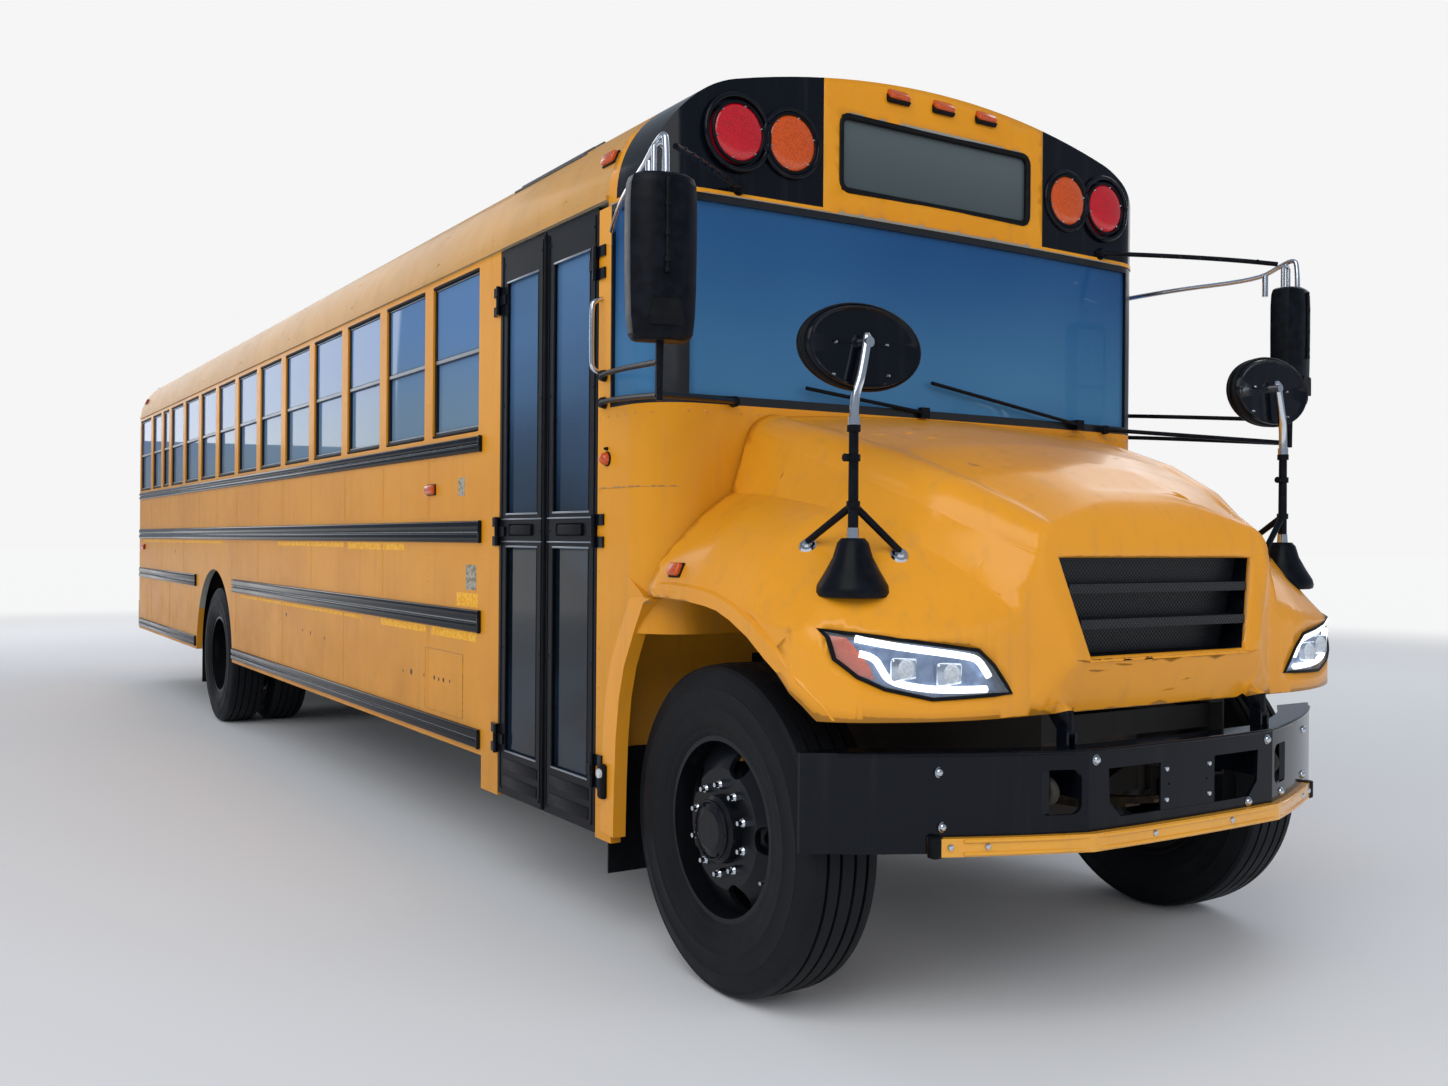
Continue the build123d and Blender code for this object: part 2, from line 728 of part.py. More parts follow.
def hood_section(row, inset):
    """Half outline of one hood section from the outer lower edge up to the crown."""
    _, crown_z, edge_y, edge_z, shoulder_y, shoulder_z, crease_y, crease_z, bulge_y, bulge_z, outer_y, outer_z = row
    low = (outer_y - inset, hood_low_z - 20)
    outer = (outer_y - inset, outer_z - inset)
    crease = (crease_y - inset, crease_z - inset)
    shoulder = (shoulder_y - inset, shoulder_z - inset)
    edge = (edge_y - inset, edge_z - inset)
    bulge = (bulge_y - inset, bulge_z - inset)
    round_y = (shoulder[0] + edge[0]) / 2 + hood_round * (edge[1] - shoulder[1])
    round_z = (shoulder[1] + edge[1]) / 2 + hood_round * (shoulder[0] - edge[0])
    return low, outer, bulge, crease, shoulder, (round_y, round_z), edge, (0, crown_z - inset)


def hood_loft(inset):
    """The closed block of the hood before its nose is cut, inset evenly."""
    sections = []
    for row in hood_rows:
        low, outer, bulge, crease, shoulder, bend, edge, crown = hood_section(row, inset)
        with BuildSketch(Plane.YZ.offset(front_axle_x + row[0])) as section:
            with BuildLine():
                Line((-low[0], low[1]), low)
                for side in (1, -1):
                    corner = [(side * y, z) for y, z in (low, outer, bulge, crease, shoulder, bend, edge)]
                    Line(corner[0], corner[1])
                    ThreePointArc(corner[1], corner[2], corner[3])
                    Line(corner[3], corner[4])
                    ThreePointArc(corner[4], corner[5], corner[6])
                ThreePointArc(edge, crown, (-edge[0], edge[1]))
            make_face()
        sections.append(section.sketch.face().outer_wire())
    return Solid.make_loft(sections, ruled=True)


def hood_block(inset):
    """The closed block of the hood with its nose rounded in plan and leaning in profile."""
    with BuildPart() as shape:
        add(hood_loft(inset))
        with BuildSketch(Plane.XY.offset(hood_low_z)) as plan:
            with BuildLine():
                turn = (lip_x - 110 - inset, 1060 - inset)
                side_start = (lip_x - 290 - inset, half_width - 4 - inset)
                plan_half = [
                    (nose_x - inset, nose_flat_y - inset / 2),
                    (lip_x - inset, nose_side_y - inset / 2),
                ]
                Line((nose_x - inset, inset / 2 - nose_flat_y), plan_half[0])
                for side in (1, -1):
                    Line((plan_half[0][0], side * plan_half[0][1]), (plan_half[1][0], side * plan_half[1][1]))
                    ThreePointArc(
                        (plan_half[1][0], side * plan_half[1][1]),
                        (lip_x - 32 - inset, side * (870 - inset)),
                        (turn[0], side * turn[1]),
                    )
                    ThreePointArc(
                        (turn[0], side * turn[1]),
                        (lip_x - 190 - inset, side * (1160 - inset)),
                        (side_start[0], side * side_start[1]),
                    )
                    Line((side_start[0], side * side_start[1]), (hood_rear_x - 200, side * (half_width + 20)))
                Line((hood_rear_x - 200, -half_width - 20), (hood_rear_x - 200, half_width + 20))
            make_face()
        extrude(plan.sketch, amount=1200, mode=Mode.INTERSECT)
        with BuildSketch(side_plane(-2 * half_width)) as profile:
            with BuildLine():
                top = (lip_x - 130 - inset, 1622 - inset)
                Line((hood_rear_x - 200, hood_low_z), (lip_x - inset, hood_low_z))
                Line((lip_x - inset, hood_low_z), (nose_x - inset, 1105))
                Line((nose_x - inset, 1105), (brow_x - inset, 1420))
                ThreePointArc((brow_x - inset, 1420), (lip_x - 32 - inset, 1545 - inset), top)
                Line(top, (hood_rear_x - 200, 2240))
                Line((hood_rear_x - 200, 2240), (hood_rear_x - 200, hood_low_z))
            make_face()
        extrude(profile.sketch, amount=-4 * half_width, mode=Mode.INTERSECT)
    return shape.part


grille_half_low = 360
grille_half_high = 448
grille_low_z = 1112
grille_high_z = 1404
grille_depth = 70
grille_bars = (1206, 1312)
grille_bar_half = 14
duct_t = 14


def grille_outline(out):
    """The grille opening's outline, grown evenly by out."""
    return [
        (-grille_half_low - out, grille_low_z - out),
        (grille_half_low + out, grille_low_z - out),
        (grille_half_high + out, grille_high_z + out),
        (-grille_half_high - out, grille_high_z + out),
    ]


def grille_prism(out, mode):
    """The grille opening's outline pushed through the nose."""
    with BuildSketch(Plane.YZ.offset(brow_x - grille_depth - 20)) as section:
        with BuildLine():
            Polyline(*grille_outline(out), close=True)
        make_face()
    extrude(section.sketch, amount=400, mode=mode)


# Headlamp outline seen from ahead: Y and Z
headlamp_points = (
    (1168, 1205),
    (755, 1146),
    (700, 1100),
    (632, 1012),
    (900, 1004),
    (1030, 1034),
    (1100, 1068),
    (1150, 1118),
)
headlamp_t = 70


def headlamp_prism(side, mode):
    """A headlamp's outline pushed through the nose on one side."""
    with BuildSketch(Plane.YZ.offset(lip_x - 420)) as section:
        with BuildLine():
            Polyline(*[(side * y, z) for y, z in headlamp_points], close=True)
        make_face()
    extrude(section.sketch, amount=800, mode=mode)


arch_front_points = (
    (front_axle_x - 310, 0),
    (front_axle_x - 310, 1245),
    (front_axle_x + 170, 1252),
    (front_axle_x + 304, 1208),
    (front_axle_x + 459, 1022),
    (front_axle_x + 520, 940),
    (front_axle_x + 520, 0),
)
wheel_well_y = 640
hood_pivot = (front_axle_x + 840, 895)
hood_tab_y = 440
hood_tab_t = 25
hood_pin_r = 8
hood_boss_r = 20
hood_outer = hood_block(0)
with BuildPart() as cowl_space:
    with BuildSketch(Plane.XY.offset(leg_top_z)) as plan:
        with BuildLine():
            front_outline(-hood_gap, door_front_x)
        make_face()
    extrude(plan.sketch, amount=1000)
with BuildPart() as grille_duct:
    grille_prism(duct_t, Mode.ADD)
    add(hood_outer, mode=Mode.INTERSECT)
with BuildPart() as hood:
    add(hood_outer)
    add(hood_block(hood_t), mode=Mode.SUBTRACT)
    add(grille_duct.part)
    grille_prism(0, Mode.SUBTRACT)
    add(cowl_space.part, mode=Mode.SUBTRACT)
    for side in (-1, 1):
        with BuildSketch(side_plane(side * 2 * half_width)) as section:
            with BuildLine():
                Polyline(*arch_front_points, close=True)
            make_face()
        extrude(section.sketch, amount=side * (2 * half_width - wheel_well_y), mode=Mode.SUBTRACT)
        headlamp_prism(side, Mode.SUBTRACT)
    for side in (-1, 1):
        near, far = sorted((side * hood_tab_y, side * (hood_tab_y + hood_tab_t)))
        with BuildSketch(side_plane(near)) as section:
            with BuildLine():
                Polyline(
                    (hood_pivot[0] - hood_boss_r, hood_pivot[1] - 4),
                    (hood_pivot[0] + hood_boss_r, hood_pivot[1] - 4),
                    (hood_pivot[0] + hood_boss_r - 6, 960),
                    (lip_x + 12, 990),
                    (lip_x - 30, 990),
                    (lip_x - 30, 950),
                    close=True,
                )
            make_face()
            with Locations(hood_pivot):
                Circle(hood_boss_r)
                Circle(hood_pin_r + pin_gap, mode=Mode.SUBTRACT)
        extrude(section.sketch, amount=near - far)
save(hood, "hood")

# Grille: a mesh plate deep in the opening and two bars across its face
with BuildPart() as grille:
    with BuildSketch(Plane.YZ.offset(brow_x - grille_depth)) as section:
        with BuildLine():
            Polyline(*grille_outline(-seat_gap), close=True)
        make_face()
    extrude(section.sketch, amount=12)
    for z in grille_bars:
        low_z = z - grille_bar_half
        rise = (low_z - grille_low_z) / (grille_high_z - grille_low_z)
        half_y = grille_half_low + rise * (grille_half_high - grille_half_low) - seat_gap
        face_x = nose_x - rise * (nose_x - brow_x) - 12
        block((brow_x - grille_depth, -half_y, low_z), (face_x, half_y, z + grille_bar_half))
save(grille, "grille")

# Headlamps filling their openings in the front corners of the hood
with BuildPart() as headlamps:
    add(hood_block(1))
    add(hood_block(headlamp_t), mode=Mode.SUBTRACT)
    with BuildPart(mode=Mode.INTERSECT):
        for side in (-1, 1):
            headlamp_prism(side, Mode.ADD)
save(headlamps, "headlamps")

# Chassis frame: two channel rails, cross members and the bumper horns
member_rows = (5700, 4060, 3000, 1500, 0, -1300, -3100, -4400, -5650)
member_w = 90
member_low_z = frame_top_z - 100
with BuildPart() as chassis_frame:
    low_z = frame_top_z - rail_h
    for side in (-1, 1):
        with BuildSketch(Plane.YZ.offset(frame_rear_x)):
            with Locations((side * (rail_y - rail_flange / 2), frame_top_z - rail_h / 2)):
                Rectangle(rail_flange, rail_h)
            with Locations((side * (rail_y - rail_flange / 2 - rail_t / 2), frame_top_z - rail_h / 2)):
                Rectangle(rail_flange - rail_t, rail_h - 2 * rail_t, mode=Mode.SUBTRACT)
        extrude(amount=frame_front_x - frame_rear_x)
    for x in member_rows:
        block(
            (x - member_w / 2, -rail_y + rail_t / 2, member_low_z),
            (x + member_w / 2, rail_y - rail_t / 2, member_low_z + 80),
        )
save(chassis_frame, "chassis_frame")

# Front axle: a dropped beam with spring pads and an eye at each end
beam_drop_z = 420
beam_h = 90
beam_w = 90
eye_h = 110
pad_y = rail_y - rail_flange / 2
with BuildPart() as front_axle:
    with BuildSketch(Plane(origin=(front_axle_x - beam_w / 2, 0, 0), x_dir=(0, 1, 0), z_dir=(1, 0, 0))):
        with BuildLine():
            half_beam = [
                (0, beam_drop_z - beam_h / 2),
                (pad_y + 90, beam_drop_z - beam_h / 2),
                (kingpin_y - 90, tyre_r - eye_h / 2 + 5),
                (kingpin_y, tyre_r - eye_h / 2 + 5),
                (kingpin_y, tyre_r + eye_h / 2 - 5),
                (kingpin_y - 90, tyre_r + eye_h / 2 - 5),
                (pad_y + 70, beam_drop_z + beam_h / 2),
            ]
            Polyline(*half_beam, *[(-y, z) for y, z in reversed(half_beam[1:])], close=True)
        make_face()
    extrude(amount=beam_w)
    for side in (-1, 1):
        with Locations((front_axle_x, side * kingpin_y, tyre_r)):
            Cylinder(axle_end_r, eye_h)
            Cylinder(kingpin_r + run_gap, eye_h + 2, mode=Mode.SUBTRACT)
save(front_axle, "front_axle")

# Steering knuckles: two ears on the kingpin, a bridge outboard of the axle eye, and the spindle
ear_t = 35
ear_gap = 2
bridge_y = 62
bridge_t = 34
spindle_y = 1120
arm_reach = 210
for name, side in (("knuckle_right", -1), ("knuckle_left", 1)):
    with BuildPart() as knuckle:
        ear_z = eye_h / 2 + ear_gap + ear_t / 2
        with Locations(
            (front_axle_x, side * kingpin_y, tyre_r + ear_z),
            (front_axle_x, side * kingpin_y, tyre_r - ear_z),
        ):
            Cylinder(axle_end_r - 4, ear_t)
        with Locations((front_axle_x, side * kingpin_y, tyre_r)):
            Cylinder(kingpin_r, eye_h + 2 * ear_gap + 2)
        near, far = sorted((side * (kingpin_y + bridge_y - 6), side * (kingpin_y + bridge_y + bridge_t - 6)))
        reach = eye_h / 2 + ear_gap + ear_t
        block((front_axle_x - 44, near, tyre_r - reach), (front_axle_x + 44, far, tyre_r + reach))
        for low_z in (tyre_r + eye_h / 2 + ear_gap, tyre_r - reach):
            near, far = sorted((side * kingpin_y, side * (kingpin_y + bridge_y)))
            block((front_axle_x - 40, near, low_z), (front_axle_x + 40, far, low_z + ear_t))
        near, far = sorted((side * (kingpin_y - 20), side * (kingpin_y + 20)))
        block((front_axle_x - arm_reach, near, tyre_r - reach), (front_axle_x, far, tyre_r - reach + ear_t))
        with BuildSketch(
            Plane(
                origin=(front_axle_x, side * (kingpin_y + bridge_y), tyre_r),
                x_dir=(1, 0, 0),
                z_dir=(0, side, 0),
            )
        ):
            Circle(spindle_r)
        extrude(amount=spindle_y - kingpin_y - bridge_y)
        with Locations((front_axle_x - arm_reach, side * kingpin_y, tyre_r - reach + ear_t / 2)):
            Cylinder(24, ear_t)
            Cylinder(10 + run_gap, ear_t + 2, mode=Mode.SUBTRACT)
    save(knuckle, name)

# Tie rod between the two steering arms
tie_z = tyre_r - eye_h / 2 - ear_gap - ear_t - 28
with BuildPart() as tie_rod:
    with BuildSketch(
        Plane(origin=(front_axle_x - arm_reach, -kingpin_y, tie_z), x_dir=(1, 0, 0), z_dir=(0, 1, 0))
    ):
        Circle(20)
    extrude(amount=2 * kingpin_y)
    for side in (-1, 1):
        with Locations((front_axle_x - arm_reach, side * kingpin_y, tie_z)):
            Cylinder(26, 44)
        with Locations((front_axle_x - arm_reach, side * kingpin_y, tie_z + 22 + 30)):
            Cylinder(10, 60)
save(tie_rod, "tie_rod")


def axle_plane(x, y, side):
    """A plane through a wheel's axis: local X runs outboard along the axis, local Y is the radius."""
    return Plane(origin=(x, side * y, tyre_r), x_dir=(0, side, 0), z_dir=(1, 0, 0))


def ring(points):
    """One closed polygon of a turned profile, added to the sketch being drawn."""
    with BuildLine() as line:
        Polyline(*points, close=True)
    make_face(line.edges())


def tyre_profile(centre):
    """Half section of a tyre about its axis, centred at a place along the axis."""
    half = tyre_w / 2
    return [
        (centre - half + 40, rim_r + seat_gap),
        (centre - half + 8, rim_r + 35),
        (centre - half, rim_r + 105),
        (centre - half + 20, tyre_r - 34),
        (centre - half + 42, tyre_r - 6),
        (centre, tyre_r),
        (centre + half - 42, tyre_r - 6),
        (centre + half - 20, tyre_r - 34),
        (centre + half, rim_r + 105),
        (centre + half - 8, rim_r + 35),
        (centre + half - 40, rim_r + seat_gap),
    ]


def barrel_profile(centre):
    """Half section of a rim barrel with its two lips."""
    edge = tyre_w / 2 - 28
    return [
        (centre - edge, rim_r - rim_t),
        (centre - edge, rim_r + 9),
        (centre - edge + 9, rim_r),
        (centre + edge - 9, rim_r),
        (centre + edge, rim_r + 9),
        (centre + edge, rim_r - rim_t),
    ]


def disc_profile(root, face, sign):
    """Half section of a dished disc from the barrel at root to the hub face, sign outboard or inboard."""
    step = sign * disc_t
    depth = face - root
    return [
        (root, rim_r - rim_t + 1),
        (root + depth * 0.5, 238),
        (face, 192),
        (face, hub_r - 8),
        (face - step, hub_r - 8),
        (face - step, 186),
        (root + depth * 0.5 - step, 230),
        (root - 1.4 * step, rim_r - rim_t + 1),
    ]


front_wheel_y = front_tyre_face_y - tyre_w / 2
rear_wheel_y = rear_tyre_face_y - tyre_w / 2
disc_t = 14
hub_r = 112
flange_r = 172
drum_r = 206
drum_t = 14
rear_spindle_r = 48
hand_hole_r = 44
hand_hole_count = 5
hand_circle_r = 222
spindle_end = spindle_y - front_wheel_y
rear_spindle_y = 984
rear_spindle_end = rear_spindle_y - rear_wheel_y
mount_a = -dual_spacing / 2

wheel_rows = (
    ("right", -1),
    ("left", 1),
)
for word, side in wheel_rows:
    plane = axle_plane(front_axle_x, front_wheel_y, side)
    axis = Axis(plane.origin, plane.x_dir)
    with BuildPart() as tyre:
        with BuildSketch(plane) as section:
            ring(tyre_profile(0))
        revolve(section.sketch, axis=axis)
    save(tyre, f"front_tyre_{word}")
    bore = spindle_r + run_gap
    with BuildPart() as wheel:
        with BuildSketch(plane) as section:
            ring(barrel_profile(0))
            ring(disc_profile(42, 95, 1))
            ring(
                [
                    (-62, bore),
                    (-62, 90),
                    (-10, hub_r),
                    (62, hub_r),
                    (62, flange_r),
                    (82, flange_r),
                    (82, hub_r),
                    (128, hub_r - 6),
                    (144, hub_r - 28),
                    (152, 60),
                    (152, 0),
                    (spindle_end + 6, 0),
                    (spindle_end + 6, bore),
                ]
            )
            ring(
                [
                    (-95, drum_r - drum_t),
                    (-95, drum_r),
                    (24, drum_r),
                    (68, flange_r),
                    (68, flange_r - 14),
                    (18, drum_r - drum_t),
                ]
            )
        revolve(section.sketch, axis=axis)
        with BuildSketch(Plane(origin=plane.origin, x_dir=(1, 0, 0), z_dir=plane.x_dir)) as holes:
            with PolarLocations(hand_circle_r, hand_hole_count):
                Circle(hand_hole_r)
        extrude(holes.sketch, amount=120, mode=Mode.SUBTRACT)
    save(wheel, f"front_wheel_{word}")

    plane = axle_plane(rear_axle_x, rear_wheel_y, side)
    axis = Axis(plane.origin, plane.x_dir)
    with BuildPart() as tyres:
        with BuildSketch(plane) as section:
            ring(tyre_profile(0))
            ring(tyre_profile(-dual_spacing))
        revolve(section.sketch, axis=axis)
    save(tyres, f"rear_tyres_{word}")
    bore = rear_spindle_r + run_gap
    with BuildPart() as wheels:
        with BuildSketch(plane) as section:
            ring(barrel_profile(0))
            ring(barrel_profile(-dual_spacing))
            ring(disc_profile(-60, mount_a, -1))
            ring(disc_profile(-dual_spacing + 60, mount_a, 1))
            ring(
                [
                    (-300, bore),
                    (-300, 96),
                    (-200, hub_r),
                    (-188, flange_r),
                    (-168, flange_r),
                    (-140, hub_r),
                    (-96, hub_r - 4),
                    (-60, hub_r - 30),
                    (-46, 56),
                    (-46, 0),
                    (rear_spindle_end + 6, 0),
                    (rear_spindle_end + 6, bore),
                ]
            )
            ring(
                [
                    (-325, drum_r - drum_t),
                    (-325, drum_r),
                    (-216, drum_r),
                    (-184, flange_r),
                    (-184, flange_r - 14),
                    (-214, drum_r - drum_t),
                ]
            )
        revolve(section.sketch, axis=axis)
        with BuildSketch(
            Plane(origin=plane.origin + plane.x_dir * mount_a, x_dir=(1, 0, 0), z_dir=plane.x_dir)
        ) as holes:
            with PolarLocations(hand_circle_r, hand_hole_count):
                Circle(hand_hole_r)
        extrude(holes.sketch, amount=90, both=True, mode=Mode.SUBTRACT)
    save(wheels, f"rear_wheels_{word}")

# Rear axle: a tube with the final drive's bulge, and a spindle each side
axle_tube_r = 65
axle_tube_y = 600
drive_r = 190
with BuildPart() as rear_axle:
    with BuildSketch(Plane(origin=(rear_axle_x, 0, tyre_r), x_dir=(0, 1, 0), z_dir=(1, 0, 0))):
        with BuildLine():
            Polyline(
                (-rear_spindle_y, 0),
                (-rear_spindle_y, rear_spindle_r),
                (-axle_tube_y, rear_spindle_r),
                (-axle_tube_y, axle_tube_r),
                (-260, axle_tube_r),
                (-110, drive_r),
                (110, drive_r),
                (260, axle_tube_r),
                (axle_tube_y, axle_tube_r),
                (axle_tube_y, rear_spindle_r),
                (rear_spindle_y, rear_spindle_r),
                (rear_spindle_y, 0),
                close=True,
            )
        make_face()
    revolve(axis=Axis((rear_axle_x, 0, tyre_r), (0, 1, 0)))
    with BuildSketch(Plane.YZ.offset(rear_axle_x)):
        with Locations((0, tyre_r)):
            Circle(85)
    extrude(amount=300)

# Leaf springs: axle X, centre Y, half length, low Z, rise of the ends, hanger Y from and to, hanger top Z
spring_rows = (
    (
        front_axle_x,
        pad_y,
        620,
        beam_drop_z + beam_h / 2 + seat_gap,
        90,
        rail_y - rail_flange,
        rail_y,
        frame_top_z - rail_h - seat_gap,
    ),
    (rear_axle_x, 500, 700, tyre_r + axle_tube_r + seat_gap, 70, rail_y + seat_gap, 538, frame_top_z - 60),
)
leaf_t = 12
spring_leaf_w = 76
leaf_count = 4
hanger_half = 40
with BuildPart() as leaf_springs:
    for axle_x, y, reach, low_z, rise, hanger_near, hanger_far, hanger_top in spring_rows:
        for side in (-1, 1):
            with BuildSketch(side_plane(side * y)) as section:
                for leaf in range(leaf_count):
                    share = 1 - 0.2 * (leaf_count - 1 - leaf)
                    half = reach * share
                    low = low_z + leaf * leaf_t
                    lift = rise * share**2
                    with BuildLine() as line:
                        ThreePointArc((axle_x - half, low + lift), (axle_x, low), (axle_x + half, low + lift))
                        Line((axle_x + half, low + lift), (axle_x + half, low + lift + leaf_t))
                        ThreePointArc(
                            (axle_x + half, low + lift + leaf_t),
                            (axle_x, low + leaf_t),
                            (axle_x - half, low + lift + leaf_t),
                        )
                        Line((axle_x - half, low + lift + leaf_t), (axle_x - half, low + lift))
                    make_face(line.edges())
            extrude(section.sketch, amount=spring_leaf_w / 2, both=True)
            near, far = sorted((side * hanger_near, side * hanger_far))
            end_z = low_z + (leaf_count - 1) * leaf_t + rise
            for x in (axle_x - reach + hanger_half, axle_x + reach - hanger_half):
                block((x - hanger_half, near, end_z - 25), (x + hanger_half, far, hanger_top))
save(leaf_springs, "leaf_springs")

# Driveshaft in two runs with a centre bearing hung from a cross member
shaft_r = 45
gearbox_setback = 930
shaft_front_x = front_axle_x - gearbox_setback
bearing_x = (shaft_front_x + rear_axle_x) / 2 + 540
shaft_front_z = 740
bearing_z = 690
with BuildPart() as driveline:
    add(rear_axle.part)
    rod([(shaft_front_x - 1.2, 0, shaft_front_z), (bearing_x, 0, bearing_z)], shaft_r, 0)
    rod([(bearing_x, 0, bearing_z), (rear_axle_x + 290, 0, tyre_r)], shaft_r, 0)
    block((bearing_x - 30, -75, bearing_z - 60), (bearing_x + 30, 75, member_low_z - seat_gap))
save(driveline, "driveline")

# Engine block with its gearbox and mounts, one plain heavy mass, and the radiator ahead of it
engine_rear_x = front_axle_x - 290
engine_front_x = front_axle_x + 480
engine_half_w = 280
head_half_w = 190
sump_z = 720
deck_z = 1120
head_top_z = 1480
mount_low_x = front_axle_x + 70
mount_low_z = 800
mount_l = 100
mount_h = 60
bell_z = 860
bell_r = 230
gearbox_z = 800
gearbox_r = 120
radiator_x = half_length - 320
radiator_t = 80
radiator_half_w = 380
radiator_low_z = 950
radiator_top_z = 1390
tray_edge = 10
tray_t = 20
with BuildPart() as engine:
    block((engine_rear_x, -engine_half_w, sump_z), (engine_front_x, engine_half_w, deck_z))
    block((engine_rear_x + 110, -head_half_w, deck_z), (engine_front_x - 40, head_half_w, head_top_z))
    with BuildSketch(Plane.YZ.offset(shaft_front_x)):
        with Locations((0, gearbox_z)):
            Circle(gearbox_r)
    with BuildSketch(Plane.YZ.offset(engine_rear_x)):
        with Locations((0, bell_z)):
            Circle(bell_r)
    loft()
    block(
        (radiator_x, -radiator_half_w, radiator_low_z),
        (radiator_x + radiator_t, radiator_half_w, radiator_top_z),
    )
    block(
        (radiator_x - tray_edge, -radiator_half_w - tray_edge, radiator_low_z - tray_t),
        (radiator_x + radiator_t + tray_edge, radiator_half_w + tray_edge, radiator_low_z),
    )
    block(
        (mount_low_x, -rail_inside_y, mount_low_z),
        (mount_low_x + mount_l, rail_inside_y, mount_low_z + mount_h),
    )
save(engine, "engine")

# Fuel tank on the kerb side and the exhaust on the driver's side
with BuildPart() as fuel_tank:
    block((1700, -1060, 560), (2900, -520, 900))
    fillet(fuel_tank.edges().filter_by(Axis.X), 60)
    for x in (1950, 2650):
        block((x - 30, -520, 700), (x + 30, -rail_y - seat_gap, 860))
save(fuel_tank, "fuel_tank")

exhaust_y = 620
exhaust_z = 620
down_pipe_y = 318
with BuildPart() as exhaust:
    rod(
        [
            (5000, down_pipe_y, 900),
            (5000, down_pipe_y, exhaust_z),
            (4600, 480, exhaust_z),
            (4000, exhaust_y, exhaust_z),
            (3600, exhaust_y, exhaust_z),
        ],
        32,
        44,
    )
    rod([(3600, exhaust_y, exhaust_z), (2500, exhaust_y, exhaust_z)], 125, 0)
    rod([(2500, exhaust_y, exhaust_z), (-1250, exhaust_y, exhaust_z)], 45, 0)
    for x, low_z, high_z in ((3300, 690, 725), (2700, 690, 725), (900, 640, 700), (-800, 640, 700)):
        block((x - 15, rail_y + seat_gap, low_z), (x + 15, exhaust_y - 25, high_z))
save(exhaust, "exhaust")

# Front bumper: a deep curved channel with swept ends, and a curved guard strip across its lower edge
strip_d = 25
bumper_low_z = 565
bumper_high_z = 850
bumper_t = 12
bumper_flange = 90
bumper_nose_x = half_length - strip_d
bumper_half_y = 1190
bumper_rear_x = bumper_nose_x - 395
tow_y = 516
tow_z = 730
tow_size = 130
bay_points = ((300, 645), (345, 690), (350, 790))
plate_half_y = 126
plate_low_z = 652
plate_high_z = 792
plate_z = 722
plate_hole_r = 3.5
plate_hole_spacing = 178
plate_t = 6


def bumper_plan(inset):
    """Closed plan of the bumper, inset evenly, with the same bow as its strip."""
    nose = bumper_nose_x - inset
    rear = bumper_rear_x - inset
    side_y = bumper_half_y - inset
    face_end = (nose - 10, 430)
    sweep = (nose - 135, 750)
    sweep_end = (nose - 295, 1060 - 0.7 * inset)
    turn = (nose - 352, 1140 - 0.8 * inset)
    side_start = (nose - 385, side_y)
    Line((rear, side_y), (rear, -side_y))
    Line((rear, -side_y), (side_start[0], -side_y))
    ThreePointArc((side_start[0], -side_y), (turn[0], -turn[1]), (sweep_end[0], -sweep_end[1]))
    ThreePointArc((sweep_end[0], -sweep_end[1]), (sweep[0], -sweep[1]), (face_end[0], -face_end[1]))
    ThreePointArc((face_end[0], -face_end[1]), (nose, 0), face_end)
    ThreePointArc(face_end, sweep, sweep_end)
    ThreePointArc(sweep_end, turn, side_start)
    Line(side_start, (rear, side_y))


def bumper_band(low_z, high_z, outer, inner):
    """The band of the bumper between two insets."""
    with BuildSketch(Plane.XY.offset(low_z)) as band:
        with BuildLine():
            bumper_plan(outer)
        make_face()
        with BuildLine():
            bumper_plan(inner)
        make_face(mode=Mode.SUBTRACT)
    extrude(band.sketch, amount=high_z - low_z)


with BuildPart() as front_bumper:
    bumper_band(bumper_low_z, bumper_high_z, 0, bumper_t)
    bumper_band(bumper_high_z - bumper_t, bumper_high_z, 0, bumper_flange)
    for side in (-1, 1):
        near, far = sorted((side * (rail_inside_y - bumper_bracket_w), side * rail_inside_y))
        block(
            (frame_front_x - 150, near, bumper_bracket_z - 50),
            (bumper_nose_x - 12, far, bumper_bracket_z + 50),
        )
        for ear_y in (hood_tab_y - hinge_r - seat_gap, hood_tab_y + hood_tab_t + seat_gap):
            near, far = sorted((side * ear_y, side * (ear_y + hinge_r)))
            with BuildSketch(side_plane(near)) as section:
                with Locations((hood_pivot[0], (hood_pivot[1] + bumper_high_z - bumper_t) / 2)):
                    Rectangle(2 * hood_boss_r, hood_pivot[1] - bumper_high_z + bumper_t)
                with Locations(hood_pivot):
                    Circle(hood_boss_r)
            extrude(section.sketch, amount=near - far)
        near, far = sorted((side * (hood_tab_y - hinge_r), side * (hood_tab_y + hood_tab_t + hinge_r)))
        with BuildSketch(side_plane(near)) as section:
            with Locations(hood_pivot):
                Circle(hood_pin_r)
        extrude(section.sketch, amount=near - far)
    with BuildSketch(Plane.YZ.offset(bumper_nose_x - 60)) as section:
        with BuildLine():
            Polyline(*bay_points, *[(-y, z) for y, z in reversed(bay_points)], close=True)
        make_face()
        with Locations((tow_y, tow_z), (-tow_y, tow_z)):
            RectangleRounded(tow_size, tow_size, 30)
    extrude(section.sketch, amount=100, mode=Mode.SUBTRACT)
    with BuildSketch(Plane.YZ.offset(bumper_nose_x - plate_t - 2)) as section:
        with Locations((0, (plate_low_z + plate_high_z) / 2)):
            Rectangle(2 * plate_half_y, plate_high_z - plate_low_z)
        with Locations((plate_hole_spacing / 2, plate_z), (-plate_hole_spacing / 2, plate_z)):
            Circle(plate_hole_r, mode=Mode.SUBTRACT)
    extrude(section.sketch, amount=plate_t)
    block((bumper_nose_x - 17, -plate_half_y, 632), (bumper_nose_x - 2, plate_half_y, plate_low_z))
    block(
        (bumper_nose_x - 17, -plate_half_y, plate_high_z),
        (bumper_nose_x - 2, plate_half_y, plate_high_z + 12),
    )

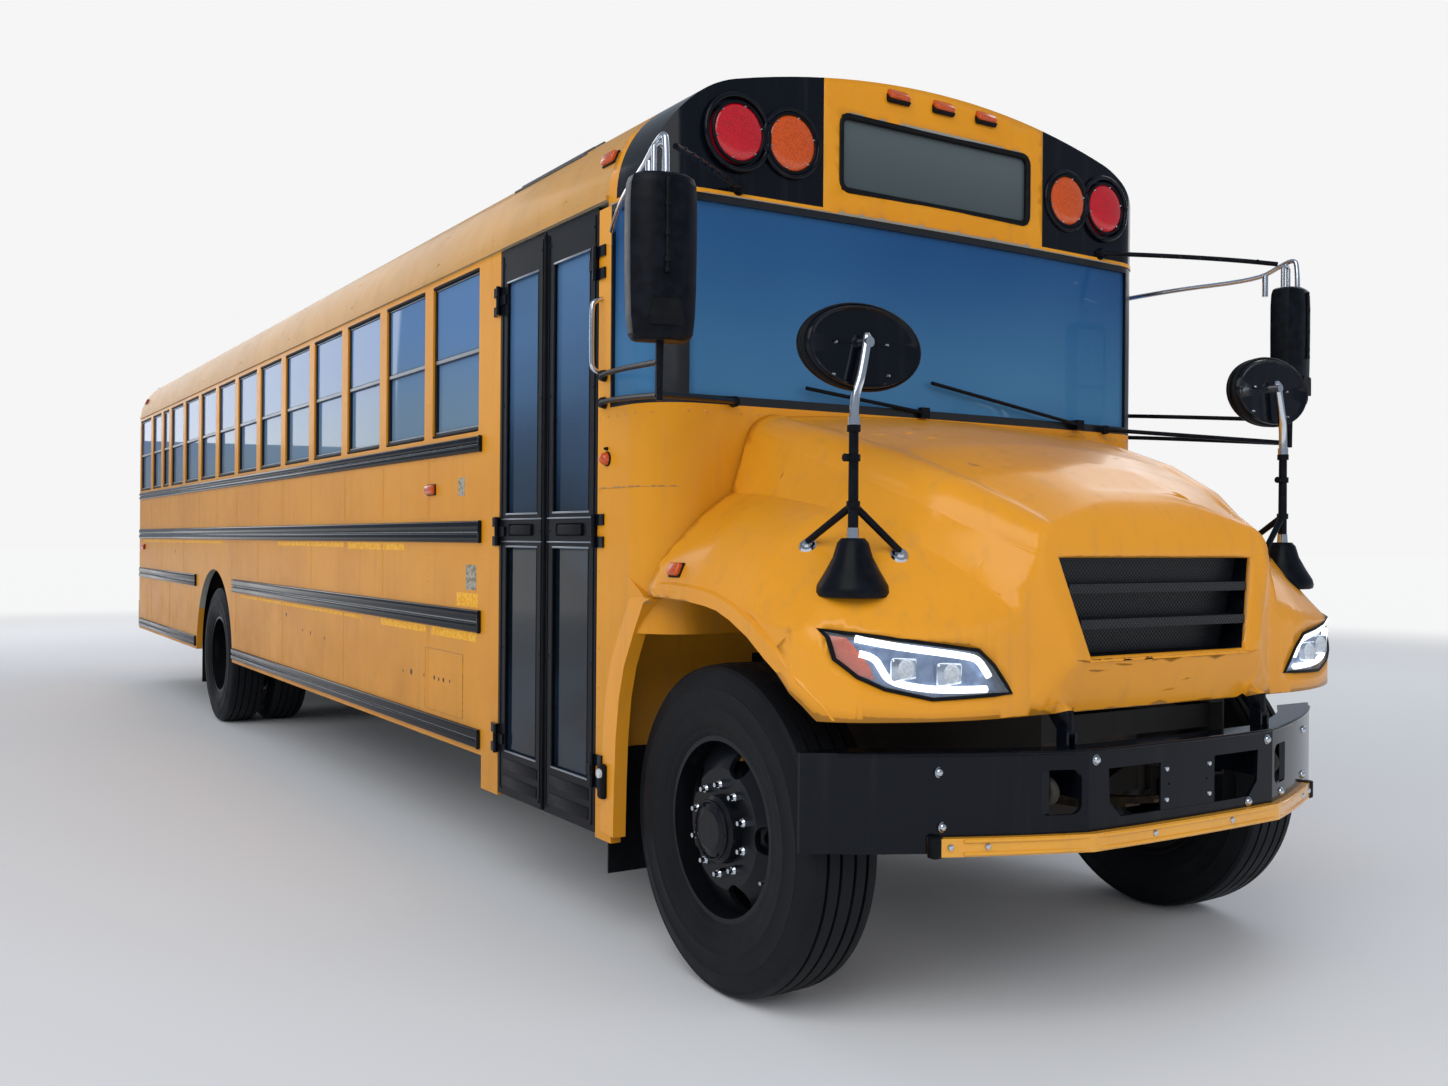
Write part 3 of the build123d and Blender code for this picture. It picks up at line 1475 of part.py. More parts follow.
strip_half_y = 880
strip_low_z = 560
strip_high_z = 612
with BuildPart() as bumper_strip:
    bumper_band(strip_low_z, strip_high_z, -strip_d, 0)
    block((0, -strip_half_y, strip_low_z), (half_length + 100, strip_half_y, strip_high_z), Mode.INTERSECT)
save(bumper_strip, "bumper_strip")

# Rear bumper, a channel round the tail with two brackets to the rails
rear_bumper_low_z = 560
rear_bumper_high_z = 800
with BuildPart() as rear_bumper:
    with BuildSketch(Plane.XY.offset(rear_bumper_low_z)):
        with Locations((-half_length + 150, 0)):
            RectangleRounded(300, body_width, 90)
        with Locations((-half_length + 162, 0)):
            RectangleRounded(300, body_width - 24, 78, mode=Mode.SUBTRACT)
        with Locations((-half_length + 300 - 3, 0)):
            Rectangle(370, 2 * body_width, mode=Mode.SUBTRACT)
    extrude(amount=rear_bumper_high_z - rear_bumper_low_z)
    for side in (-1, 1):
        near, far = sorted((side * (rail_inside_y - bumper_bracket_w), side * rail_inside_y))
        block(
            (-half_length + 6, near, bumper_bracket_z - bumper_bracket_h / 2),
            (frame_rear_x + 120, far, bumper_bracket_z + bumper_bracket_h / 2),
        )
with BuildPart() as bumpers:
    add(front_bumper.part)
    add(rear_bumper.part)
save(bumpers, "bumpers")

# Rear-view mirrors on tube arms from the cap's corners and the windshield posts
mirror_x = front_axle_x + 250
mirror_y = 1495
mirror_low_z = 2020
mirror_high_z = 2500
arm_r = 11
arm_foot_r = 26
upper_foot = (1060, 2700)
lower_foot = (1120, 1962)
corner_x = windshield_x - front_corner_r
corner_y = half_width - front_corner_r


def corner_face_x(y, lip):
    """X of the rounded front corner's face at a place across the bus."""
    return corner_x + sqrt((front_corner_r + lip) ** 2 - (y - corner_y) ** 2)


with BuildPart() as rear_view_mirrors:
    for side in (-1, 1):
        block(
            (mirror_x - 55, side * mirror_y - 105, mirror_low_z),
            (mirror_x + 55, side * mirror_y + 105, mirror_high_z),
        )
    fillet(rear_view_mirrors.edges().filter_by(Axis.Z), 30)
    for side in (-1, 1):
        for (foot_y, foot_z), lip, elbow_z, end_z in (
            (upper_foot, cap_lip, 2640, mirror_high_z - 10),
            (lower_foot, 0, 1985, mirror_low_z + 10),
        ):
            foot_x = corner_face_x(foot_y - arm_foot_r, lip) + seat_gap
            rod(
                [
                    (mirror_x, side * mirror_y, end_z),
                    (mirror_x, side * mirror_y, elbow_z),
                    (foot_x + 10, side * foot_y, foot_z),
                ],
                arm_r,
                14,
            )
            with BuildSketch(Plane.YZ.offset(foot_x)) as section:
                with Locations((side * foot_y, foot_z)):
                    Circle(arm_foot_r)
            extrude(section.sketch, amount=14)
save(rear_view_mirrors, "rear_view_mirrors")

# Cross-view mirrors, each an oval head behind a post with two struts, on a bell at the fender's crown
cross_x = front_axle_x + 537
cross_y = 1012
cross_z = 2016
cross_head_t = 50
bell_low_z = 1240
bell_high_z = 1454
strut_z = 1555
strut_feet = ((-190, 38), (26, -160))
with BuildPart() as cross_mirrors:
    for side in (-1, 1):
        with BuildSketch(Plane.YZ.offset(cross_x - arm_r - cross_head_t - 10)) as section:
            with Locations((side * cross_y, cross_z)):
                Ellipse(250, 150)
        extrude(section.sketch, amount=cross_head_t)
    fillet(cross_mirrors.edges(), 20)
save(cross_mirrors, "cross_mirrors")

with BuildPart() as cross_mirror_arms:
    for side in (-1, 1):
        with Locations((cross_x, side * cross_y, (bell_low_z + bell_high_z) / 2)):
            Cone(95, 33, bell_high_z - bell_low_z)
        rod([(cross_x, side * cross_y, bell_high_z - 10), (cross_x, side * cross_y, cross_z + 90)], arm_r, 0)
        block(
            (cross_x - arm_r - 10 + seat_gap, side * cross_y - 20, cross_z - 30),
            (cross_x, side * cross_y + 20, cross_z + 30),
        )
        for ahead, out in strut_feet:
            rod(
                [(cross_x, side * cross_y, strut_z), (cross_x + ahead, side * (cross_y + out), 1380)],
                arm_r - 2,
                0,
            )
    add(hood_block(-seat_gap), mode=Mode.SUBTRACT)
save(cross_mirror_arms, "cross_mirror_arms")

dash_half_y = half_width - front_corner_r

# Wipers at the foot of the windshield: pivot Y and Z, tip Y and Z
wiper_rows = ((756, 1935, -45, 2050), (-80, 1935, -630, 1990))
wiper_x = windshield_x + front_bow + 14
with BuildPart() as wipers:
    for pivot_y, pivot_z, tip_y, tip_z in wiper_rows:
        rod([(wiper_x, pivot_y, pivot_z), (wiper_x, tip_y, tip_z)], 7, 0)
        base_x = bow_x(abs(pivot_y) - 20) + seat_gap
        block((base_x, pivot_y - 20, pivot_z - 20), (wiper_x + 8, pivot_y + 20, pivot_z + 20))
save(wipers, "wipers")

# Mud flaps behind the rear wheels and inside the front arches
flap_t = 8
with BuildPart() as mud_flaps:
    for side in (-1, 1):
        near, far = sorted((side * house_y, side * (inner_y - 10)))
        block((rear_axle_x - 720, near, 240), (rear_axle_x - 720 + flap_t, far, frame_top_z - 80))
        block(
            (rear_axle_x - 720, near, frame_top_z - 80),
            (rear_axle_x - 720 + 30, far, floor_z - floor_t - seat_gap),
        )
        near, far = sorted((side * 700, side * (half_width - cowl_wall - 1)))
        block(
            (door_front_x + splash_t + seat_gap, near, 250),
            (door_front_x + splash_t + seat_gap + flap_t, far, 700),
        )
save(mud_flaps, "mud_flaps")

# Bench seats: rows along the bus, a cushion and a back each side of the aisle
seat_rows = 11
seat_pitch = 700
seat_first_x = 2900
seat_w = 990
seat_inner_y = 175
cushion_low_z = floor_z + 330
cushion_t = 120
cushion_l = 400
back_t = 90
back_high_z = floor_z + 1080
seat_list = [seat_first_x - row * seat_pitch for row in range(seat_rows)]
with BuildPart() as seat_cushions:
    with BuildSketch(Plane.XY.offset(cushion_low_z)) as plan:
        with Locations(*[(x, side * (seat_inner_y + seat_w / 2)) for x in seat_list for side in (-1, 1)]):
            Rectangle(cushion_l, seat_w)
    extrude(plan.sketch, amount=cushion_t)
    with BuildSketch(Plane.XY.offset(cushion_low_z)) as plan:
        with Locations(
            *[
                (x - cushion_l / 2 - back_t / 2 - seat_gap, side * (seat_inner_y + seat_w / 2))
                for x in seat_list
                for side in (-1, 1)
            ]
        ):
            Rectangle(back_t, seat_w)
    extrude(plan.sketch, amount=back_high_z - cushion_low_z)

leg_w = 30
with BuildPart() as seat_frames:
    with BuildSketch(Plane.XY.offset(floor_z)) as plan:
        with Locations(*[
            (x + shift, side * (seat_inner_y + inset))
            for x in seat_list
            for side in (-1, 1)
            for shift in (-150, 130)
            for inset in (60, seat_w - 60)
        ]):
            Rectangle(leg_w, leg_w)
    extrude(plan.sketch, amount=cushion_low_z - floor_z - seat_gap)
    for side in (-1, 1):
        near, far = sorted((side * house_y, side * inner_y))
        block(
            (rear_axle_x - house_half, near, floor_z - 10),
            (rear_axle_x + house_half, far, house_top_z),
            Mode.SUBTRACT,
        )

# Driver's seat, dashboard and steering wheel
driver_y = 560
with BuildPart() as seats:
    add(seat_cushions.part)
    block((3700, driver_y - 230, floor_z + 400), (4150, driver_y + 230, floor_z + 520))
    block((3600, driver_y - 230, floor_z + 400), (3700 - seat_gap, driver_y + 230, floor_z + 1250))
save(seats, "seats")

with BuildPart() as all_seat_frames:
    add(seat_frames.part)
    block((3850, driver_y - 120, floor_z), (4050, driver_y + 120, floor_z + 400 - seat_gap))
save(all_seat_frames, "seat_frames")

dash_top_z = 1840
with BuildPart() as dashboard:
    with BuildSketch(side_plane(-dash_half_y)) as section:
        with BuildLine():
            Polyline(
                (windshield_x - 80, cowl_low_z + 30 + seat_gap),
                (windshield_x - 80, dash_top_z),
                (windshield_x - 240, dash_top_z + 10),
                (windshield_x - 370, 1760),
                (windshield_x - 330, 1560),
                (windshield_x - 200, 1500),
                (windshield_x - 160, cowl_low_z + 30 + seat_gap),
                close=True,
            )
        make_face()
    extrude(section.sketch, amount=-2 * dash_half_y)

wheel_tilt = 40
with BuildPart() as steering_wheel:
    tilted = Plane(
        origin=(windshield_x - 420, driver_y, 1820),
        x_dir=(0, 1, 0),
        z_dir=(-cos(radians(wheel_tilt)), 0, sin(radians(wheel_tilt))),
    )
    with BuildSketch(tilted) as section:
        Circle(225)
        Circle(195, mode=Mode.SUBTRACT)
        Rectangle(400, 40)
        Circle(70)
    extrude(section.sketch, amount=25)
    with BuildSketch(tilted) as section:
        Circle(35)
    extrude(section.sketch, amount=-140)
with BuildPart() as driver_controls:
    add(dashboard.part)
    add(steering_wheel.part)
save(driver_controls, "dashboard")

# Stop arm on the driver's side: a bracket and a folding eight-sided blade
stop_hinge_x = first_window_x - 60
stop_z = 1660
stop_across = 450
stop_t = 14
stop_y = half_width + rub_depth + 12
stop_axis = (stop_hinge_x + 10, stop_y + stop_t / 2)
stop_heights = (stop_z - 1.5 * knuckle_h, stop_z + 1.5 * knuckle_h)
with BuildPart() as stop_bracket:
    block(
        (stop_axis[0] + 12, half_width + seat_gap, stop_z - 3 * knuckle_h),
        (stop_axis[0] + 90, stop_axis[1] + 10, stop_z + 3 * knuckle_h),
    )
    hinge_pins(
        stop_axis,
        (stop_axis[0], stop_axis[1] - 4),
        (stop_axis[0] + 14, stop_axis[1] + 4),
        stop_heights,
    )
with BuildPart() as door_hinges:
    hinge_pins(
        rear_hinge,
        (body_rear_x - hinge_leaf, rear_hinge[1] - hinge_plate),
        (body_rear_x - seat_gap, rear_hinge[1]),
        rear_hinge_heights,
    )
    for hinge_x, way in zip(entrance_hinge_x, (1, -1)):
        near, far = sorted((hinge_x, hinge_x + way * hinge_plate))
        hinge_pins(
            (hinge_x, entrance_hinge_y),
            (near, -half_width - hinge_leaf),
            (far, -half_width - seat_gap),
            entrance_hinge_heights,
        )
with BuildPart() as side_trim:
    add(rub_rails.part)
    add(stop_bracket.part)
    add(door_hinges.part)
save(side_trim, "side_trim")

with BuildPart() as stop_arm:
    with BuildSketch(side_plane(stop_y)) as section:
        with Locations((stop_hinge_x - 120 - stop_across / 2, stop_z)):
            RegularPolygon(stop_across / 2 / cos(pi / 8), 8, rotation=22.5)
        with Locations((stop_hinge_x - 75, stop_z)):
            Rectangle(150, 200)
    extrude(section.sketch, amount=-stop_t)
    hinge_knuckles(stop_axis, (stop_hinge_x - 10, stop_y), (stop_axis[0], stop_y + stop_t), stop_heights)
save(stop_arm, "stop_arm")
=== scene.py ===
"""School bus: finishes, fittings and a plain studio on the bus's solids."""

import math

import bmesh
import bpy
from bpy.props import FloatProperty, FloatVectorProperty, IntProperty, PointerProperty
from mathutils import Matrix, Vector
from mathutils.bvhtree import BVHTree


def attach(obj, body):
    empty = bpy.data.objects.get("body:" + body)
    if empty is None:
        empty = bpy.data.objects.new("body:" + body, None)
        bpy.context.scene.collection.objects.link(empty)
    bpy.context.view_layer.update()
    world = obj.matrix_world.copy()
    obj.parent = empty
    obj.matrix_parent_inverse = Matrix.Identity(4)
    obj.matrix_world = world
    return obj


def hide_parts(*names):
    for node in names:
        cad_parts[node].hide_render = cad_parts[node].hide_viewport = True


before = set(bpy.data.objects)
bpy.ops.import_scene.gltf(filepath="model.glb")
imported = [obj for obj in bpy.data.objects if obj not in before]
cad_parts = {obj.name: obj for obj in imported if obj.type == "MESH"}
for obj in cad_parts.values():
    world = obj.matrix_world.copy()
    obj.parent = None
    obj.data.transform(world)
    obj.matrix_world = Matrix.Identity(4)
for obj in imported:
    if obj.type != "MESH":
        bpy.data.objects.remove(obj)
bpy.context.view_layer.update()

bl_info = {
    "name": "School Bus Looks",
    "version": (1, 0, 0),
    "blender": (4, 5, 0),
    "location": "View3D > Sidebar > Bus",
    "description": "Finishes and fittings of a school bus, with a plain studio",
    "category": "Object",
}

# Places on the bus, in metres
front_axle_x = 5.080
rear_axle_x = -2.230
axle_z = 0.527
windshield_x = 4.820
side_y = 1.219
gutter_z = 2.650
sill_z = 1.915
window_top_z = 2.625
split_z = 2.270
skirt_z = 0.520
door_front_x = 4.400
door_rear_x = 3.500
first_window_x = 3.320
window_pitch = 0.683
window_post_w = 0.110
window_widths = [window_pitch] * 11 + [0.417, 0.575, 0.715]
body_rear_x = -5.900
red_y = 0.915
amber_y = 0.690
lamp_z = 2.850
lamp_r = 0.105
rear_lamp_x = -5.948


def srgb(red, green, blue):
    """A colour picked on screen, 0 to 255, as linear light."""
    out = []
    for value in (red, green, blue):
        share = value / 255
        out.append(share / 12.92 if share < 0.04045 else ((share + 0.055) / 1.055) ** 2.4)
    return tuple(out)


# Sizes and colours that a user may change


class BusPaint(bpy.types.PropertyGroup):
    """Paint colours of the body."""

    body: FloatVectorProperty(name="Body", description="Side panel yellow", subtype="COLOR", default=srgb(226, 152, 28))
    # Painted light: the hood and body yellows are lit and shaded copies of one paint, and the lighter hood yellow is
    # the lit one.
    hood: FloatVectorProperty(name="Hood", description="Hood yellow", subtype="COLOR", default=srgb(236, 158, 34))
    roof: FloatVectorProperty(name="Roof", description="Duller roof yellow", subtype="COLOR", default=srgb(206, 150, 66))
    strip: FloatVectorProperty(name="Strip", description="Bumper strip yellow", subtype="COLOR", default=srgb(240, 170, 28))
    black: FloatVectorProperty(name="Black", description="Gloss black", subtype="COLOR", default=srgb(10, 14, 22))
    dust: FloatVectorProperty(name="Dust", description="Road dust", subtype="COLOR", default=srgb(128, 112, 92))
    glass: FloatVectorProperty(name="Glass", description="Tint of the windows", subtype="COLOR", default=srgb(62, 96, 130))


class BusSizes(bpy.types.PropertyGroup):
    """Sizes of the small fittings."""

    rivet: FloatProperty(name="Rivet", description="Rivet head radius", default=0.006, unit="LENGTH")
    seam: FloatProperty(name="Seam", description="Width of a panel lap", default=0.034, unit="LENGTH")
    groove: FloatProperty(name="Groove", description="Depth of the tread grooves", default=0.012, unit="LENGTH")
    nuts: IntProperty(name="Nuts", description="Wheel nuts on each front wheel", default=10)
    gasket: FloatProperty(name="Gasket", description="Radius of the lamp gaskets", default=0.006, unit="LENGTH")


# Shader values as arithmetic


class Wire:
    """One shader value, so that a pattern reads as plain arithmetic."""

    def __init__(self, tree, socket):
        self.tree = tree
        self.socket = socket

    def maths(self, operation, first, second=0.0, clamp=False):
        node = self.tree.nodes.new("ShaderNodeMath")
        node.operation = operation
        node.use_clamp = clamp
        for slot, value in zip(node.inputs, (first, second)):
            if isinstance(value, Wire):
                self.tree.links.new(value.socket, slot)
            else:
                slot.default_value = value
        return Wire(self.tree, node.outputs[0])

    def __add__(self, other):
        return self.maths("ADD", self, other)

    def __sub__(self, other):
        return self.maths("SUBTRACT", self, other)

    def __rsub__(self, other):
        return self.maths("SUBTRACT", other, self)

    def __mul__(self, other):
        return self.maths("MULTIPLY", self, other)

    def __gt__(self, other):
        return self.maths("GREATER_THAN", self, other)

    def __lt__(self, other):
        return self.maths("LESS_THAN", self, other)

    def __abs__(self):
        return self.maths("ABSOLUTE", self)

    __radd__ = __add__
    __rmul__ = __mul__

    def held(self):
        """The value kept between 0 and 1."""
        return self.maths("ADD", self, 0.0, clamp=True)

    def sine(self):
        return self.maths("SINE", self)


class Finish:
    """One surface finish."""

    def __init__(self, name, colour, **sockets):
        self.material = bpy.data.materials.new(name)
        self.material.use_nodes = True
        self.tree = self.material.node_tree
        self.shader = self.tree.nodes["Principled BSDF"]
        self.shader.inputs["Base Color"].default_value = (*colour, 1)
        for words, value in sockets.items():
            self.shader.inputs[words.replace("_", " ")].default_value = value
        self.place = self.node("ShaderNodeTexCoord", output="Object")

    def node(self, kind, settings=(), inputs=(), output=0):
        """Adds one node: its settings first, then its values and links."""
        node = self.tree.nodes.new(kind)
        for key, value in dict(settings).items():
            if key == "stops":
                ramp = node.color_ramp
                while len(ramp.elements) < len(value):
                    ramp.elements.new(0.5)
                for element, (spot, colour) in zip(ramp.elements, value):
                    element.position = spot
                    element.color = colour
            else:
                setattr(node, key, value)
        for key, value in dict(inputs).items():
            self.feed(node.inputs[key], value)
        return Wire(self.tree, node.outputs[output])

    def feed(self, slot, value):
        if isinstance(value, Wire):
            self.tree.links.new(value.socket, slot)
        else:
            slot.default_value = value

    def axis(self, letter):
        return self.node("ShaderNodeSeparateXYZ", inputs={0: self.place}, output="XYZ".index(letter))

    def stretched(self, scale):
        """The place, scaled along each axis."""
        return self.node("ShaderNodeMapping", inputs={"Vector": self.place, "Scale": scale})

    def noise(self, scale, detail=3.0, stretch=(1, 1, 1)):
        inputs = {"Vector": self.stretched(stretch), "Scale": scale, "Detail": detail}
        return self.node("ShaderNodeTexNoise", inputs=inputs)

    def cells(self, scale, feature="F1"):
        inputs = {"Vector": self.place, "Scale": scale}
        return self.node("ShaderNodeTexVoronoi", {"feature": feature}, inputs)

    def blend(self, factor, low, high):
        """A colour between two others."""
        low = low if isinstance(low, Wire) else (*low, 1)
        high = high if isinstance(high, Wire) else (*high, 1)
        inputs = {0: factor, 6: low, 7: high}
        return self.node("ShaderNodeMix", {"data_type": "RGBA"}, inputs, output=2)

    def step(self, value, low, high):
        """0 below low, 1 above high."""
        inputs = {"Value": value, "From Min": low, "From Max": high}
        return self.node("ShaderNodeMapRange", {"interpolation_type": "SMOOTHSTEP"}, inputs)

    def link(self, socket, value):
        self.feed(self.shader.inputs[socket], value)

    def bump(self, height, strength, distance=0.001):
        inputs = {"Height": height, "Strength": strength, "Distance": distance}
        self.link("Normal", self.node("ShaderNodeBump", inputs=inputs))

    def inside(self):
        """1 on faces that look down, or towards the bus's middle plane."""
        normal = self.node("ShaderNodeNewGeometry", output="Normal")
        side = self.node("ShaderNodeSeparateXYZ", inputs={0: normal}, output=1)
        up = self.node("ShaderNodeSeparateXYZ", inputs={0: normal}, output=2)
        return ((side * self.axis("Y") < -0.3) + (up < -0.5)).held()


def painted(
    name, colour, shade, dust, low_rough=0.25, high_rough=0.42, coat=0.5, inner=None, dust_top=1.5,
    soil=0.42, peel=0.16, gloss=0.5,
):
    """Body paint: slow colour drift, rain streaks, dust low down, and a faint orange peel."""
    finish = Finish(name, colour, Coat_Weight=coat, Coat_Roughness=0.12, Specular_IOR_Level=gloss)
    drift = finish.step(finish.noise(1.3, 4.0), 0.3, 0.75)
    mottle = finish.noise(9.0, 5.0)
    streaks = finish.step(finish.noise(6.0, 4.0, (3.0, 3.0, 0.22)), 0.52, 0.8)
    tone = finish.blend(drift * 0.55 + mottle * 0.15, colour, shade)
    tone = finish.blend(streaks * 0.16, tone, dust)
    low = 1 - finish.step(finish.axis("Z"), 0.35, dust_top)
    film = (low * finish.step(finish.noise(3.1, 6.0), 0.25, 0.85)).held()
    tone = finish.blend(film * soil, tone, dust)
    # Faces that look down or inwards take the inner colour: cream on the body and roof, and on the hood a darker yellow
    # that is painted shade.
    if inner:
        tone = finish.blend(finish.inside(), tone, inner)
    finish.link("Base Color", tone)
    finish.link("Roughness", low_rough + (high_rough - low_rough) * mottle + film * 0.22 + streaks * 0.06)
    finish.bump(finish.noise(260.0, 1.0) * 0.12 + finish.noise(2.2, 2.0) * 6, peel, 0.0012)
    return finish.material


def plain(name, colour, shade, rough=0.4, scale=30.0, bump=0.3, bump_scale=400.0, **sockets):
    """A fine-grained surface with two tones."""
    finish = Finish(name, colour, **sockets)
    grain = finish.noise(scale, 5.0)
    finish.link("Base Color", finish.blend(finish.step(grain, 0.35, 0.7), colour, shade))
    finish.link("Roughness", grain * 0.2 + (rough - 0.1))
    finish.bump(finish.noise(bump_scale, 3.0), bump, 0.0006)
    return finish.material


def glazed(name, colour, top, alpha, low_z, high_z):
    """Tinted glass whose colour shifts towards a second one near its top, which is a painted sky reflection, with faint
    smears, and more opaque towards its lower edge.
    """
    finish = Finish(name, colour, Coat_Weight=0.15, Coat_Roughness=0.02, IOR=1.5, Specular_IOR_Level=0.2)
    # Painted reflection: the glass's colour changes with height, as the sky's reflection would.
    rise = finish.step(finish.axis("Z"), low_z, high_z)
    smear = finish.noise(1.1, 1.0, (1.0, 1.0, 2.2))
    finish.link("Base Color", finish.blend((rise * 0.9 + (smear - 0.5) * 0.5).held(), colour, top))
    finish.link("Roughness", smear * 0.03 + 0.01)
    finish.link("Alpha", (alpha + 0.06 * (1 - rise)).held())
    return finish.material


def lens(name, colour, deep, glow):
    """A moulded lamp lens: fine cells, a darker rim tone, and a soft glow that is brighter in its lower part, which is
    painted light.
    """
    finish = Finish(name, colour, Coat_Weight=0.4, Coat_Roughness=0.03, Roughness=0.12, Emission_Strength=glow)
    cell = finish.cells(210.0)
    # Painted light: the glow is strongest below the warning lamps' middle height.
    drop = finish.axis("Z") + (finish.noise(5.0, 2.0) - 0.5) * 0.05
    bright = 1 - finish.step(drop, lamp_z - 0.075, lamp_z + 0.02)
    tone = finish.blend(finish.step(cell, 0.1, 0.8) * 0.6, colour, deep)
    finish.link("Base Color", tone)
    finish.link("Emission Color", finish.blend(bright * (1.1 - cell * 0.6), deep, colour))
    finish.bump(cell, 0.35, 0.0012)
    return finish.material


def metal(name, colour, rough, stretch=(1, 1, 1)):
    finish = Finish(name, colour, Metallic=1.0)
    grain = finish.noise(60.0, 4.0, stretch)
    finish.link("Base Color", finish.blend(grain * 0.5, colour, tuple(value * 0.7 for value in colour)))
    finish.link("Roughness", grain * 0.16 + rough)
    finish.bump(finish.noise(300.0, 2.0, stretch), 0.12, 0.0004)
    return finish.material


def tyre_rubber(name):
    """Tyre rubber: dusty in patches, and finely grained."""
    dark = srgb(14, 17, 22)
    finish = Finish(name, dark, Roughness=0.7, Specular_IOR_Level=0.2)
    film = finish.step(finish.noise(7.0, 6.0), 0.4, 0.8)
    fine = finish.noise(120.0, 4.0)
    tone = finish.blend(film * 0.35, dark, srgb(44, 45, 48))
    finish.link("Base Color", finish.blend(fine * 0.25, tone, srgb(8, 9, 12)))
    finish.link("Roughness", film * 0.2 + 0.52 + fine * 0.1)
    finish.bump(fine + finish.noise(30.0, 3.0) * 0.5, 0.3, 0.0012)
    return finish.material


def mesh_grille(name):
    """Black grille mesh: rows of small round openings."""
    dark = srgb(20, 24, 30)
    finish = Finish(name, dark, Roughness=0.45)
    across = (finish.axis("Y") * 420.0).sine()
    down = (finish.axis("Z") * 420.0).sine()
    holes = finish.step(across * down, 0.05, 0.35)
    finish.link("Base Color", finish.blend(holes, dark, srgb(2, 2, 3)))
    finish.link("Roughness", holes * 0.4 + 0.38)
    finish.bump(1 - holes, 0.8, 0.003)
    return finish.material


def vinyl(name, colour, shade):
    """Seat vinyl: a leather grain with worn, shinier patches."""
    finish = Finish(name, colour)
    grain = finish.cells(260.0, "SMOOTH_F1")
    worn = finish.step(finish.noise(5.0, 4.0), 0.45, 0.7)
    finish.link("Base Color", finish.blend(worn * 0.6, colour, shade))
    finish.link("Roughness", 0.62 - worn * 0.18)
    finish.bump(grain, 0.35, 0.0008)
    return finish.material


def ribbed(name, colour, shade, per_metre):
    """Ribbed rubber or vinyl flooring."""
    finish = Finish(name, colour)
    ribs = (finish.axis("Y") * (per_metre * 6.283)).sine()
    scuff = finish.step(finish.noise(6.0, 5.0), 0.4, 0.75)
    finish.link("Base Color", finish.blend(scuff * 0.7, colour, shade))
    finish.link("Roughness", scuff * 0.2 + 0.6)
    finish.bump(ribs, 0.5, 0.002)
    return finish.material


def frame_paint(name, black, yellow):
    """Black window surround whose rear posts, beside the doors, are body yellow."""
    finish = Finish(name, black)
    grain = finish.noise(30.0, 4.0)
    post = (finish.axis("X") < 4.492) * (abs(finish.axis("Y")) > 1.12)
    tone = finish.blend(grain * 0.4, black, srgb(22, 26, 32))
    finish.link("Base Color", finish.blend(post, tone, yellow))
    finish.link("Roughness", grain * 0.15 + 0.25)
    return finish.material


def glow(name, colour, strength):
    """A lit light guide with a soft cross ripple."""
    finish = Finish(name, colour, Roughness=0.2, Emission_Strength=strength)
    ripple = (finish.axis("Y") * 900.0).sine() * 0.06 + 0.94
    finish.link("Emission Color", finish.blend(ripple, srgb(210, 225, 245), colour))
    finish.link("Base Color", finish.blend(ripple, srgb(200, 215, 235), colour))
    return finish.material


def patched(name, colour, marks):
    """A flat decal or patch: worn through in spots."""
    finish = Finish(name, colour)
    worn = finish.step(finish.noise(70.0, 6.0), 0.42, 0.62)
    finish.link("Base Color", finish.blend(worn, colour, marks))
    finish.link("Roughness", worn * 0.3 + 0.4)
    finish.bump(worn, 0.3, 0.0005)
    return finish.material


finishes = {}


